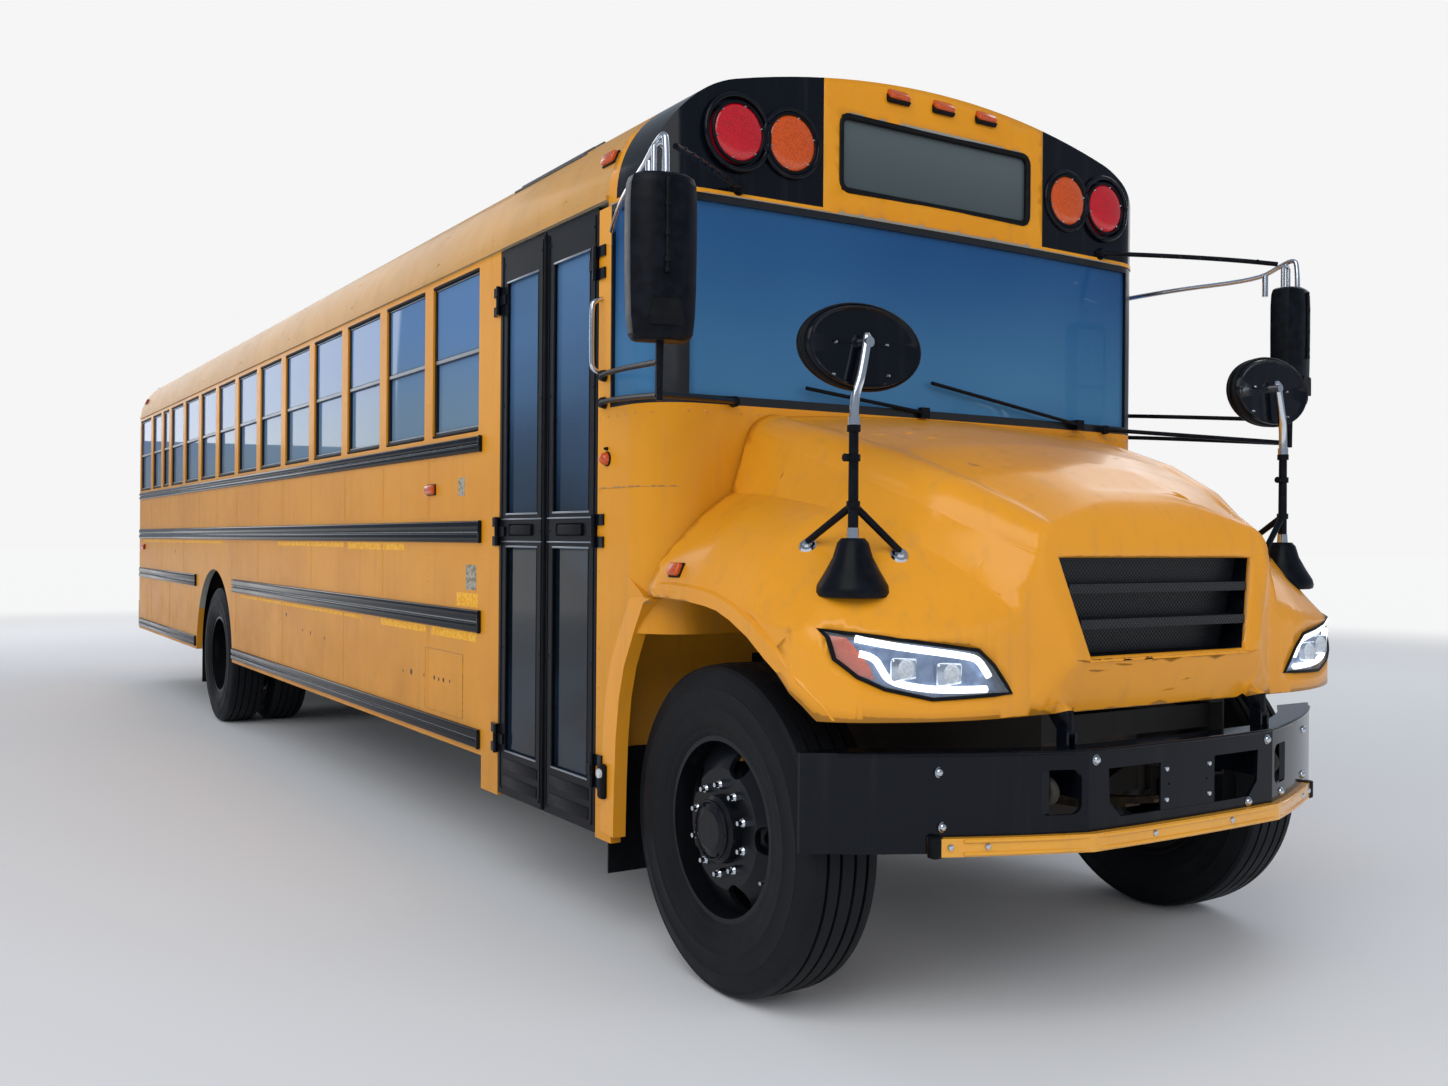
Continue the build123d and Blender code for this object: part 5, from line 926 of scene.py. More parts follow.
class BUS_OT_side_panels(bpy.types.Operator):
    """Add panel laps, rivet rows, patches, decals, rust holes and the access door's outline"""

    bl_idname = "bus.side_panels"
    bl_label = "Side panels"

    def execute(self, context):
        sizes = context.scene.bus_sizes
        laps, rivets = bmesh.new(), bmesh.new()
        posts = [first_window_x - index * window_pitch for index in range(1, 12)] + [-4.61, -5.19]
        zones = ((0.645, 1.030), (1.155, 1.420), (1.540, 1.812))
        for side in (-1, 1):
            out = (0, side, 0)
            for count, x in enumerate(posts):
                for zone, (low, high) in enumerate(zones):
                    if abs(x - rear_axle_x) < 0.75 and low < 1.2:
                        continue
                    if (count + zone) % 2 == 0 or zone == 2:
                        near, far = sorted((side * (side_y - 0.001), side * (side_y + 0.0012)))
                        box(laps, (x - sizes.seam / 2, near, low), (x + sizes.seam / 2, far, high), 0.0005, 1)
                    for row in range(int((high - low) / 0.062)):
                        z = low + 0.03 + row * 0.062
                        screw(rivets, (x + 0.006, side * (side_y + 0.001), z), out, sizes.rivet * 0.7, 0.0018, 6)
                for z in (1.96, 2.08, 2.20, 2.34, 2.46, 2.58):
                    screw(rivets, (x, side * (side_y + 0.0002), z), out, sizes.rivet * 0.7, 0.002, 6)
            x = -5.82
            while x < (3.30 if side < 0 else 4.36):
                for z in (1.168, 1.545, 1.420, 0.640, 1.806):
                    if abs(x - rear_axle_x) > 0.74 or z > 1.25:
                        screw(rivets, (x, side * (side_y + 0.0002), z), out, sizes.rivet * 0.6, 0.0016, 6)
                x += 0.158
        piece("panel_laps", laps, "root", "body", 30)
        piece("panel_rivets", rivets, "root", "body", 60)
        patches = bmesh.new()
        for side in (-1, 1):
            for start, end, z, high in (
                (1.35, 2.30, 1.390, 0.036), (-0.2, 1.28, 1.398, 0.026), (-5.6, -1.9, 1.400, 0.022),
                (1.95, 2.62, 1.004, 0.034), (2.70, 3.26, 1.000, 0.040), (-1.30, 1.6, 1.014, 0.018),
                (3.02, 3.27, 1.150, 0.060),
            ):
                near, far = sorted((side * (side_y - 0.001), side * (side_y + 0.0008)))
                box(patches, (start, near, z), (end, far, z + high), 0.0004, 1)
        piece("bright_patches", patches, "root", "bright", 30)
        decals = bmesh.new()
        for x, z, wide, high in ((3.07, 1.680, 0.075, 0.080), (3.19, 1.280, 0.120, 0.110)):
            box(decals, (x - wide / 2, -side_y - 0.0010, z - high / 2), (x + wide / 2, -side_y + 0.001, z + high / 2), 0.0004, 1)
        piece("grey_decals", decals, "root", "decal", 30)
        holes = bmesh.new()
        for x, z, reach in (
            (2.30, 0.795, 0.010), (2.42, 0.800, 0.020), (2.60, 0.800, 0.010), (2.74, 0.800, 0.014),
            (2.80, 0.798, 0.011), (2.86, 0.800, 0.014), (2.94, 0.802, 0.010), (0.42, 0.880, 0.012),
            (-0.10, 0.900, 0.012), (0.60, 0.875, 0.014), (0.90, 0.860, 0.013), (0.02, 0.955, 0.018),
            (-3.9, 1.32, 0.016),
        ):
            screw(holes, (x, -side_y + 0.0006, z), (0, -1, 0), reach, 0.0012, 10)
        piece("rusty_holes", holes, "root", "rust", 30)
        frames = bmesh.new()
        for low, high in (((2.62, 0.650), (3.10, 0.935)),):
            corners = [(low[0], -side_y - 0.0005, low[1]), (high[0], -side_y - 0.0005, low[1]), (high[0], -side_y - 0.0005, high[1]), (low[0], -side_y - 0.0005, high[1])]
            tube(frames, corners, 0.0022, False, True, 1)
        piece("access_door_outline", frames, "root", "ghost", 30)
        return {"FINISHED"}


class BUS_OT_window_lines(bpy.types.Operator):
    """Add the pale sash lines, split bars, latches and black seals of the side windows"""

    bl_idname = "bus.window_lines"
    bl_label = "Window lines"

    def execute(self, context):
        lines, seals, latches = bmesh.new(), bmesh.new(), bmesh.new()
        for side in (-1, 1):
            for rear, front in window_bays():
                for z, high, out in ((1.9375, 0.006, 0.0005), (2.262, 0.016, 0.0015), (2.603, 0.005, 0.0005)):
                    near, far = sorted((side * (side_y - 0.012), side * (side_y - 0.010 + out)))
                    box(lines, (rear + 0.020, near, z), (front - 0.020, far, z + high), 0.001, 1)
                near, far = sorted((side * (side_y - 0.030), side * (side_y + 0.0015)))
                box(seals, (rear + 0.001, near, sill_z + 0.004), (front - 0.001, far, sill_z + 0.012), 0.002, 1)
                box(seals, (rear + 0.001, near, window_top_z - 0.012), (front - 0.001, far, window_top_z - 0.001), 0.002, 1)
                for x in (rear + 0.10, front - 0.10):
                    near, far = sorted((side * (side_y - 0.045), side * (side_y - 0.036)))
                    box(latches, (x - 0.02, near, 2.285), (x + 0.02, far, 2.300), 0.002, 1)
        piece("sash_lines", lines, "root", "alu", 30)
        piece("window_seals", seals, "root", "rubber", 30)
        piece("sash_latches", latches, "root", "satin", 30)
        return {"FINISHED"}


class BUS_OT_roof_details(bpy.types.Operator):
    """Add roof seams, rivet rows, side louvres and hatch fittings"""

    bl_idname = "bus.roof_details"
    bl_label = "Roof details"

    def execute(self, context):
        sizes = context.scene.bus_sizes
        tree = skin_of("roof")
        seams, rivets = bmesh.new(), bmesh.new()
        rows = [4.10 - index * 1.366 for index in range(8)]
        across = [index * 0.1 for index in range(-11, 12)]
        for x in rows:
            line = []
            for y in (-1.212, -1.16, *across, 1.16, 1.212):
                spot, normal = above(tree, x, y)
                if spot and abs(spot.z) > 2.5:
                    line.append((spot, normal))
            points = [spot + normal * 0.0004 for spot, normal in line]
            tube(seams, points, 0.0032, True, False, 1)
            for spot, normal in line:
                for shift in (-0.014, 0.014):
                    screw(rivets, spot + Vector((shift, 0, 0)), normal, sizes.rivet * 0.75, 0.002, 6)
        for side in (-1, 1):
            x = -5.8
            while x < 4.44:
                for z in (2.690, 2.715):
                    spot, normal = beside(tree, x, z, side)
                    if spot:
                        screw(rivets, spot, normal, sizes.rivet * 0.6, 0.0016, 6)
                x += 0.115
        piece("roof_seams", seams, "root", "roof", 60)
        piece("roof_rivets", rivets, "root", "roof", 60)
        louvres = bmesh.new()
        for side in (-1, 1):
            for row in range(3):
                points = []
                for step in range(9):
                    spot, normal = beside(tree, 3.35 + step * 0.085, 2.945 + row * 0.028, side)
                    points.append(spot + normal * 0.002)
                tube(louvres, points, 0.0065, True, False, 2)
        piece("roof_louvres", louvres, "root", "grey", 50)
        grips = bmesh.new()
        for name, x in (("roof_hatch_front", 1.5), ("roof_hatch_rear", -3.1)):
            bm = bmesh.new()
            box(bm, (x - 0.27, -0.27, 3.186), (x + 0.26, 0.27, 3.197), 0.008, 2)
            for y in (-0.16, 0, 0.16):
                box(bm, (x - 0.24, y - 0.03, 3.196), (x + 0.23, y + 0.03, 3.201), 0.004, 2)
            piece(name + "_ribs", bm, name, "roof", 40)
        grips.free()
        return {"FINISHED"}


class BUS_OT_markers(bpy.types.Operator):
    """Add the amber and red marker lamps with their bases"""

    bl_idname = "bus.markers"
    bl_label = "Marker lamps"

    def execute(self, context):
        roof, cap = skin_of("roof"), skin_of("front_cap")
        cowl, walls, hood = skin_of("cowl"), skin_of("side_wall_right", "side_wall_left"), skin_of("hood")
        groups = {"amber": bmesh.new(), "red": bmesh.new()}
        bases = bmesh.new()
        hood_lamps, hood_bases = bmesh.new(), bmesh.new()
        for y in (-0.215, 0.005, 0.225):
            spot = ahead(cap, y, 3.098)
            self.lamp(groups["amber"], bases, spot, Vector((1, 0, 0.9)), Vector((0, 1, 0)), 0.045, 0.020)
        for side in (-1, 1):
            for tree, x, z, half, kind in (
                (roof, 4.42, 2.815, 0.042, "amber"), (roof, -5.70, 2.815, 0.042, "red"),
                (walls, 2.69, 1.677, 0.050, "amber"), (walls, -5.60, 1.350, 0.050, "red"),
            ):
                spot, normal = beside(tree, x, z, side)
                self.lamp(groups[kind], bases, spot, normal, Vector((1, 0, 0)), half, 0.020)
            spot, normal = beside(cowl, 4.475, 1.735, side)
            turned(bases, [(-0.004, 0.027), (0.006, 0.026), (0.008, 0.0)], spot, (0, side, 0), 28)
            turned(groups["amber"], [(0.004, 0.024), (0.018, 0.021), (0.028, 0.013), (0.031, 0.0)], spot, (0, side, 0), 28)
            screw(bases, spot + Vector((0, 0, 0.036)), (0, side, 0), 0.007, 0.014, 10)
            spot, normal = beside(hood, 4.915, 1.350, side)
            if spot:
                self.lamp(hood_lamps, hood_bases, spot, normal, Vector((1, 0, 0)), 0.030, 0.020)
        for name, bm in groups.items():
            piece("marker_lamps_" + name, bm, "root", name, 40)
        piece("marker_bases", bases, "root", "rubber", 40)
        piece("fender_markers", hood_lamps, "hood", "amber", 40)
        piece("fender_marker_bases", hood_bases, "hood", "rubber", 40)
        return {"FINISHED"}

    def lamp(self, lamps, bases, spot, normal, along, half, high):
        """One small lamp: a thin base and a ribbed, rounded lens."""
        normal = Vector(normal).normalized()
        along = (along - normal * along.dot(normal)).normalized()
        across = normal.cross(along)
        turn = Matrix((along, across, normal)).transposed().to_4x4()
        for bm, long, tall, low, deep, edge in (
            (bases, half + 0.006, high + 0.006, -0.012, 0.006, 0.003),
            (lamps, half + 0.002, high + 0.002, -0.002, 0.022, 0.009),
        ):
            made = bmesh.new()
            box(made, (-long, -tall, low), (long, tall, deep), edge, 3)
            bmesh.ops.transform(made, matrix=Matrix.Translation(spot) @ turn, verts=made.verts)
            joined(made, bm)


class BUS_OT_warning_lamps(bpy.types.Operator):
    """Add the red and amber warning lamps' hoods, bezels, screws and domed lenses"""

    bl_idname = "bus.warning_lamps"
    bl_label = "Warning lamps"

    def execute(self, context):
        for kind, place in (("red", red_y), ("amber", amber_y)):
            lenses, bezels, screws = bmesh.new(), bmesh.new(), bmesh.new()
            for side in (-1, 1):
                for face_x, way in ((4.845, 1), (rear_lamp_x, -1)):
                    centre = Vector((face_x - way * 0.006, side * place, lamp_z))
                    dome = [(0.0, 0.101), (0.006, 0.098), (0.012, 0.086), (0.016, 0.060), (0.018, 0.030), (0.0185, 0.0)]
                    turned(lenses, dome, centre, (way, 0, 0), 48)
                    front = centre + Vector((way * 0.006, 0, 0))
                    ring(bezels, front, (way, 0, 0), 0.103, 0.0065, 56, 10)
                    for turn in range(6):
                        angle = (turn + 0.25) * math.tau / 6
                        spot = front + Vector((way * 0.004, 0.094 * math.cos(angle), 0.094 * math.sin(angle)))
                        screw(screws, spot, (way, 0, 0), 0.0042, 0.003, 8)
            piece("warning_lenses_" + kind, lenses, "root", kind, 60)
            piece("warning_bezels_" + kind, bezels, "root", "satin", 60)
            piece("warning_screws_" + kind, screws, "root", "chrome", 30)
        hoods = bmesh.new()
        for side in (-1, 1):
            for place in (red_y, amber_y):
                reach = 0.128 if place == red_y else 0.118
                centre = Vector((4.842, side * place, lamp_z))
                ring(hoods, centre, (1, 0, 0), reach, 0.010, 56, 10)
        piece("lamp_hoods", hoods, "root", "black", 60)
        return {"FINISHED"}


class BUS_OT_sign(bpy.types.Operator):
    """Add the destination sign's gasket"""

    bl_idname = "bus.sign"
    bl_label = "Sign"

    def execute(self, context):
        frame_bm = bmesh.new()
        x = 4.838
        corners = self.rounded(x, 0.470, 2.722, 2.993, 0.035)
        tube(frame_bm, corners, 0.0125, False, True, 3)
        piece("sign_gasket", frame_bm, "root", "rubber", 60)
        return {"FINISHED"}

    def rounded(self, x, half, low, high, reach):
        """A rounded rectangle of points seen from ahead."""
        bm = bmesh.new()
        verts = [bm.verts.new((x, y, z)) for y, z in ((-half, low), (half, low), (half, high), (-half, high))]
        bm.faces.new(verts)
        bmesh.ops.bevel(bm, geom=verts, offset=reach, segments=5, profile=0.5, affect="VERTICES", material=-1)
        bm.faces.ensure_lookup_table()
        points = [vert.co.copy() for vert in bm.faces[0].verts]
        bm.free()
        return points


class BUS_OT_headlamps(bpy.types.Operator):
    """Build the headlamps: housing, light guide, projectors, amber reflector, cover and gasket"""

    bl_idname = "bus.headlamps"
    bl_label = "Headlamps"

    def execute(self, context):
        tree = skin_of("headlamps")
        outline = ((1.160, 1.200), (0.760, 1.142), (0.706, 1.098), (0.640, 1.016), (0.900, 1.008), (1.028, 1.038), (1.096, 1.072), (1.144, 1.120))
        backs, covers, gaskets = bmesh.new(), bmesh.new(), bmesh.new()
        guides, bezels, bowls, reflectors = bmesh.new(), bmesh.new(), bmesh.new(), bmesh.new()
        for side in (-1, 1):
            shape = [(side * y, z) for y, z in outline]
            draped(backs, tree, shape, -0.026, 3)
            draped(covers, tree, shape, 0.0015, 3)
            rim = []
            for (y, z), (next_y, next_z) in zip(shape, shape[1:] + shape[:1]):
                for step in range(4):
                    share = step / 4
                    spot = ahead(tree, y + (next_y - y) * share, z + (next_z - z) * share, 0.001)
                    if spot:
                        rim.append(spot)
            tube(gaskets, rim, context.scene.bus_sizes.gasket, False, True, 2)
            upper = ((1.096, 1.178), (1.020, 1.160), (0.900, 1.142), (0.790, 1.126), (0.752, 1.116), (0.728, 1.086), (0.714, 1.066))
            lower = ((1.086, 1.136), (1.050, 1.128), (1.030, 1.090), (1.014, 1.062), (0.960, 1.044), (0.860, 1.030), (0.722, 1.030))
            for points in (upper, lower):
                line = [ahead(tree, side * y, z, -0.010) for y, z in points]
                tube(guides, line, 0.0105, True, False, 3)
            for y, z in ((0.966, 1.092), (0.836, 1.076)):
                spot = ahead(tree, side * y, z, -0.014)
                box(bezels, spot - Vector((0.020, 0.047, 0.034)), spot + Vector((0.004, 0.047, 0.034)), 0.012, 3)
                turned(bowls, [(0.004, 0.030), (0.010, 0.026), (0.016, 0.016), (0.018, 0.0)], spot, (1, 0, 0), 28)
            amber = ((1.150, 1.186), (1.112, 1.180), (1.058, 1.100), (1.046, 1.062), (1.090, 1.078), (1.136, 1.122))
            draped(reflectors, tree, [(side * y, z) for y, z in amber], -0.014, 2)
        housing = piece("headlamp_housings", backs, "hood", "lamp_back", 40)
        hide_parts("headlamps")
        piece("headlamp_covers", covers, "hood", "cover", 60)
        piece("headlamp_gaskets", gaskets, "hood", "rubber", 60)
        piece("headlamp_guides", guides, "hood", "light", 60)
        piece("headlamp_bezels", bezels, "hood", "projector", 50)
        piece("headlamp_bowls", bowls, "hood", "clear", 60)
        piece("headlamp_reflectors", reflectors, "hood", "amber", 60)
        return {"FINISHED"}


class BUS_OT_grille(bpy.types.Operator):
    """Add the grille's two bars"""

    bl_idname = "bus.grille"
    bl_label = "Grille"

    def execute(self, context):
        tree = skin_of("hood")
        bars = bmesh.new()
        for z, half in ((1.2065, 0.392), (1.312, 0.426)):
            spot = ahead(tree, 0.49, z)
            near = spot.x - 0.050
            box(bars, (near - 0.012, -half, z - 0.005), (near + 0.012, half, z + 0.005), 0.004, 3)
        piece("grille_bars", bars, "hood", "bar", 40)
        return {"FINISHED"}


class BUS_OT_bumper(bpy.types.Operator):
    """Add the front bumper's bolts, hooks, strip ends and rivets"""

    bl_idname = "bus.bumper"
    bl_label = "Front bumper"

    def execute(self, context):
        tree = skin_of("bumpers")
        bolts, washers = bmesh.new(), bmesh.new()
        places = [(side * y, z) for side in (-1, 1) for y, z in ((0.40, 0.819), (0.85, 0.796), (0.84, 0.640))]
        places += [(0.30, 0.628), (0.52, 0.634)]
        for y, z in places:
            spot = ahead(tree, y, z)
            screw(washers, spot, (1, 0, 0), 0.016, 0.003, 20)
            turned(bolts, [(0.002, 0.0125), (0.006, 0.0115), (0.010, 0.007), (0.011, 0.0)], spot, (1, 0, 0), 20)
        for y in (-0.100, 0.100):
            for z in (0.675, 0.768):
                spot = ahead(tree, y, z)
                turned(bolts, [(0.0, 0.008), (0.004, 0.007), (0.006, 0.0)], spot, (1, 0, 0), 14)
        piece("bumper_bolts", bolts, "root", "chrome", 50)
        piece("bumper_washers", washers, "root", "alu", 40)
        hooks = bmesh.new()
        for side in (-1, 1):
            path = [(5.86, side * 0.516, 0.700), (5.915, side * 0.516, 0.695), (5.94, side * 0.516, 0.725), (5.915, side * 0.516, 0.760), (5.88, side * 0.516, 0.755)]
            tube(hooks, path, 0.015, True, False, 3)
            box(hooks, (5.80, side * 0.516 - 0.04, 0.68), (5.87, side * 0.516 + 0.04, 0.78), 0.006, 2)
        piece("tow_hooks", hooks, "root", "chassis", 50)
        strip = skin_of("bumper_strip")
        ends, studs, ribs = bmesh.new(), bmesh.new(), bmesh.new()
        for side in (-1, 1):
            spot = ahead(strip, side * 0.868, 0.586)
            box(ends, spot - Vector((0.030, 0.018, 0.031)), spot + Vector((0.004, 0.018, 0.031)), 0.006, 2)
            for y in (0.835, 0.735, 0.18):
                spot = ahead(strip, side * y, 0.588)
                turned(studs, [(0.0, 0.010), (0.004, 0.009), (0.007, 0.0)], spot, (1, 0, 0), 16)
        for z in (0.568, 0.604):
            points = [ahead(strip, y * 0.1, z, 0.0005) for y in range(-8, 9)]
            tube(ribs, points, 0.006, True, False, 2)
        piece("strip_ends", ends, "root", "rubber", 40)
        piece("strip_studs", studs, "root", "chrome", 50)
        piece("strip_ribs", ribs, "root", "strip", 60)
        lip = bmesh.new()
        points = [ahead(tree, y * 0.1, 0.846, 0.001) for y in range(-11, 12)]
        tube(lip, [point for point in points if point], 0.006, True, False, 2)
        piece("bumper_lip", lip, "root", "black", 60)
        return {"FINISHED"}


class BUS_OT_cross_mirrors(bpy.types.Operator):
    """Build the oval mirrors, their bent posts, collars, struts, feet and bells"""

    bl_idname = "bus.cross_mirrors"
    bl_label = "Cross-view mirrors"

    def execute(self, context):
        x, z = 5.617, 2.018
        joint_z, bell_top_z = 1.555, 1.458
        tree = skin_of("hood")
        for word, side in (("right", -1), ("left", 1)):
            y = side * 1.012
            top_y = side * 0.968
            back, rims, glass = bmesh.new(), bmesh.new(), bmesh.new()
            self.oval(back, [(-0.006, 0.214), (0.010, 0.212), (0.018, 0.205), (0.017, 0.196), (0.011, 0.188), (0.013, 0.10), (0.014, 0.0)], (5.582, top_y + 0.012, z))
            self.oval(glass, [(-0.026, 0.208), (-0.044, 0.175), (-0.054, 0.10), (-0.057, 0.0)], (5.582, top_y + 0.012, z))
            self.oval(rims, self.round_profile(0.0, 0.216, 0.009), (5.582, top_y + 0.012, z))
            self.oval(rims, self.round_profile(-0.022, 0.212, 0.009), (5.582, top_y + 0.012, z))
            shell = piece("cross_mirror_back_" + word, back, "hood", "black", 40)
            piece("cross_mirror_rim_" + word, rims, "hood", "rubber", 60)
            piece("cross_mirror_glass_" + word, glass, "hood", "mirror", 60)
            chrome, dark = bmesh.new(), bmesh.new()
            tube(chrome, [(x, y, 1.80), (x, y, 1.87), (x + 0.008, y + (top_y - y) * 0.5, 1.93), (x + 0.004, top_y, 2.045)], 0.0145, True, False, 4)
            rod(chrome, (x + 0.002, top_y, 2.040), (x, top_y, 2.054), 0.016, 0.009, 20)
            rod(chrome, (x - 0.024, top_y, 2.028), (x + 0.018, top_y, 2.028), 0.019, 0.016, 20)
            rod(chrome, (x, y, 1.785), (x, y, 1.808), 0.018, 0.018, 20)
            rod(chrome, (x, y, bell_top_z - 0.004), (x, y, bell_top_z + 0.030), 0.019, 0.017, 20)
            for ahead_x, out in ((-0.180, 0.030), (0.030, -0.150)):
                spot, normal = above(tree, x + ahead_x, side * (1.012 + out))
                rod(dark, (x, y, joint_z), spot + Vector((0, 0, 0.012)), 0.0115, 0.0105, 14)
                rod(chrome, spot - normal * 0.002, spot + normal * 0.006, 0.030, 0.024, 20)
                rod(chrome, spot + normal * 0.006, spot + normal * 0.012, 0.015, 0.010, 16)
            for dy, dz in ((-0.095, 0.012), (0.095, 0.006), (-0.102, -0.078), (0.102, -0.088)):
                screw(chrome, (5.594, top_y + side * dy, z + dz), (1, 0, 0), 0.006, 0.006, 10)
            piece("cross_mirror_chrome_" + word, chrome, "hood", "chrome", 40)
            rod(dark, (x, y, bell_top_z), (x, y, 1.79), 0.0155, 0.0140, 20)
            for height in (joint_z, 1.690, 1.775):
                rod(dark, (x, y, height - 0.010), (x, y, height + 0.010), 0.020, 0.020, 20)
            rod(dark, (x, y - 0.034, 1.690), (x, y, 1.690), 0.012, 0.010, 12)
            box(dark, (5.594, top_y - 0.105, z + 0.005), (5.599, top_y + 0.105, z + 0.012), 0.002, 1)
            turned(dark, [(-0.172, 0.096), (-0.168, 0.106), (-0.156, 0.109), (-0.136, 0.104), (-0.100, 0.082), (-0.055, 0.058), (-0.014, 0.046), (0.0, 0.034), (0.0, 0.014)], (x, y, bell_top_z), (0, 0, 1), 40)
            arms = piece("cross_mirror_post_" + word, dark, "hood", "satin", 40)
            screws = bmesh.new()
            for turn, out, height in ((-0.55, 0.048, 1.395), (-0.45, 0.078, 1.292), (1.9, 0.078, 1.292)):
                way = Vector((math.cos(turn), math.sin(turn), 0.25))
                screw(screws, Vector((x, y, height)) + Vector((way.x, way.y, 0)) * out, way, 0.006, 0.004, 10)
            piece("cross_mirror_screws_" + word, screws, "hood", "chrome", 40)
        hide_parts("cross_mirrors")
        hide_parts("cross_mirror_arms")
        return {"FINISHED"}

    def round_profile(self, along, reach, thick):
        turns = [turn * math.tau / 8 for turn in range(9)]
        return [(along + thick * math.sin(angle), reach + thick * math.cos(angle)) for angle in turns]

    def oval(self, target, profile, place):
        """Turns a profile, squashes it to the mirror's oval and sets it in place."""
        made = bmesh.new()
        turned(made, profile, (0, 0, 0), (1, 0, 0), 56)
        bmesh.ops.scale(made, vec=(1, 1, 0.58), verts=made.verts)
        bmesh.ops.translate(made, vec=place, verts=made.verts)
        joined(made, target)


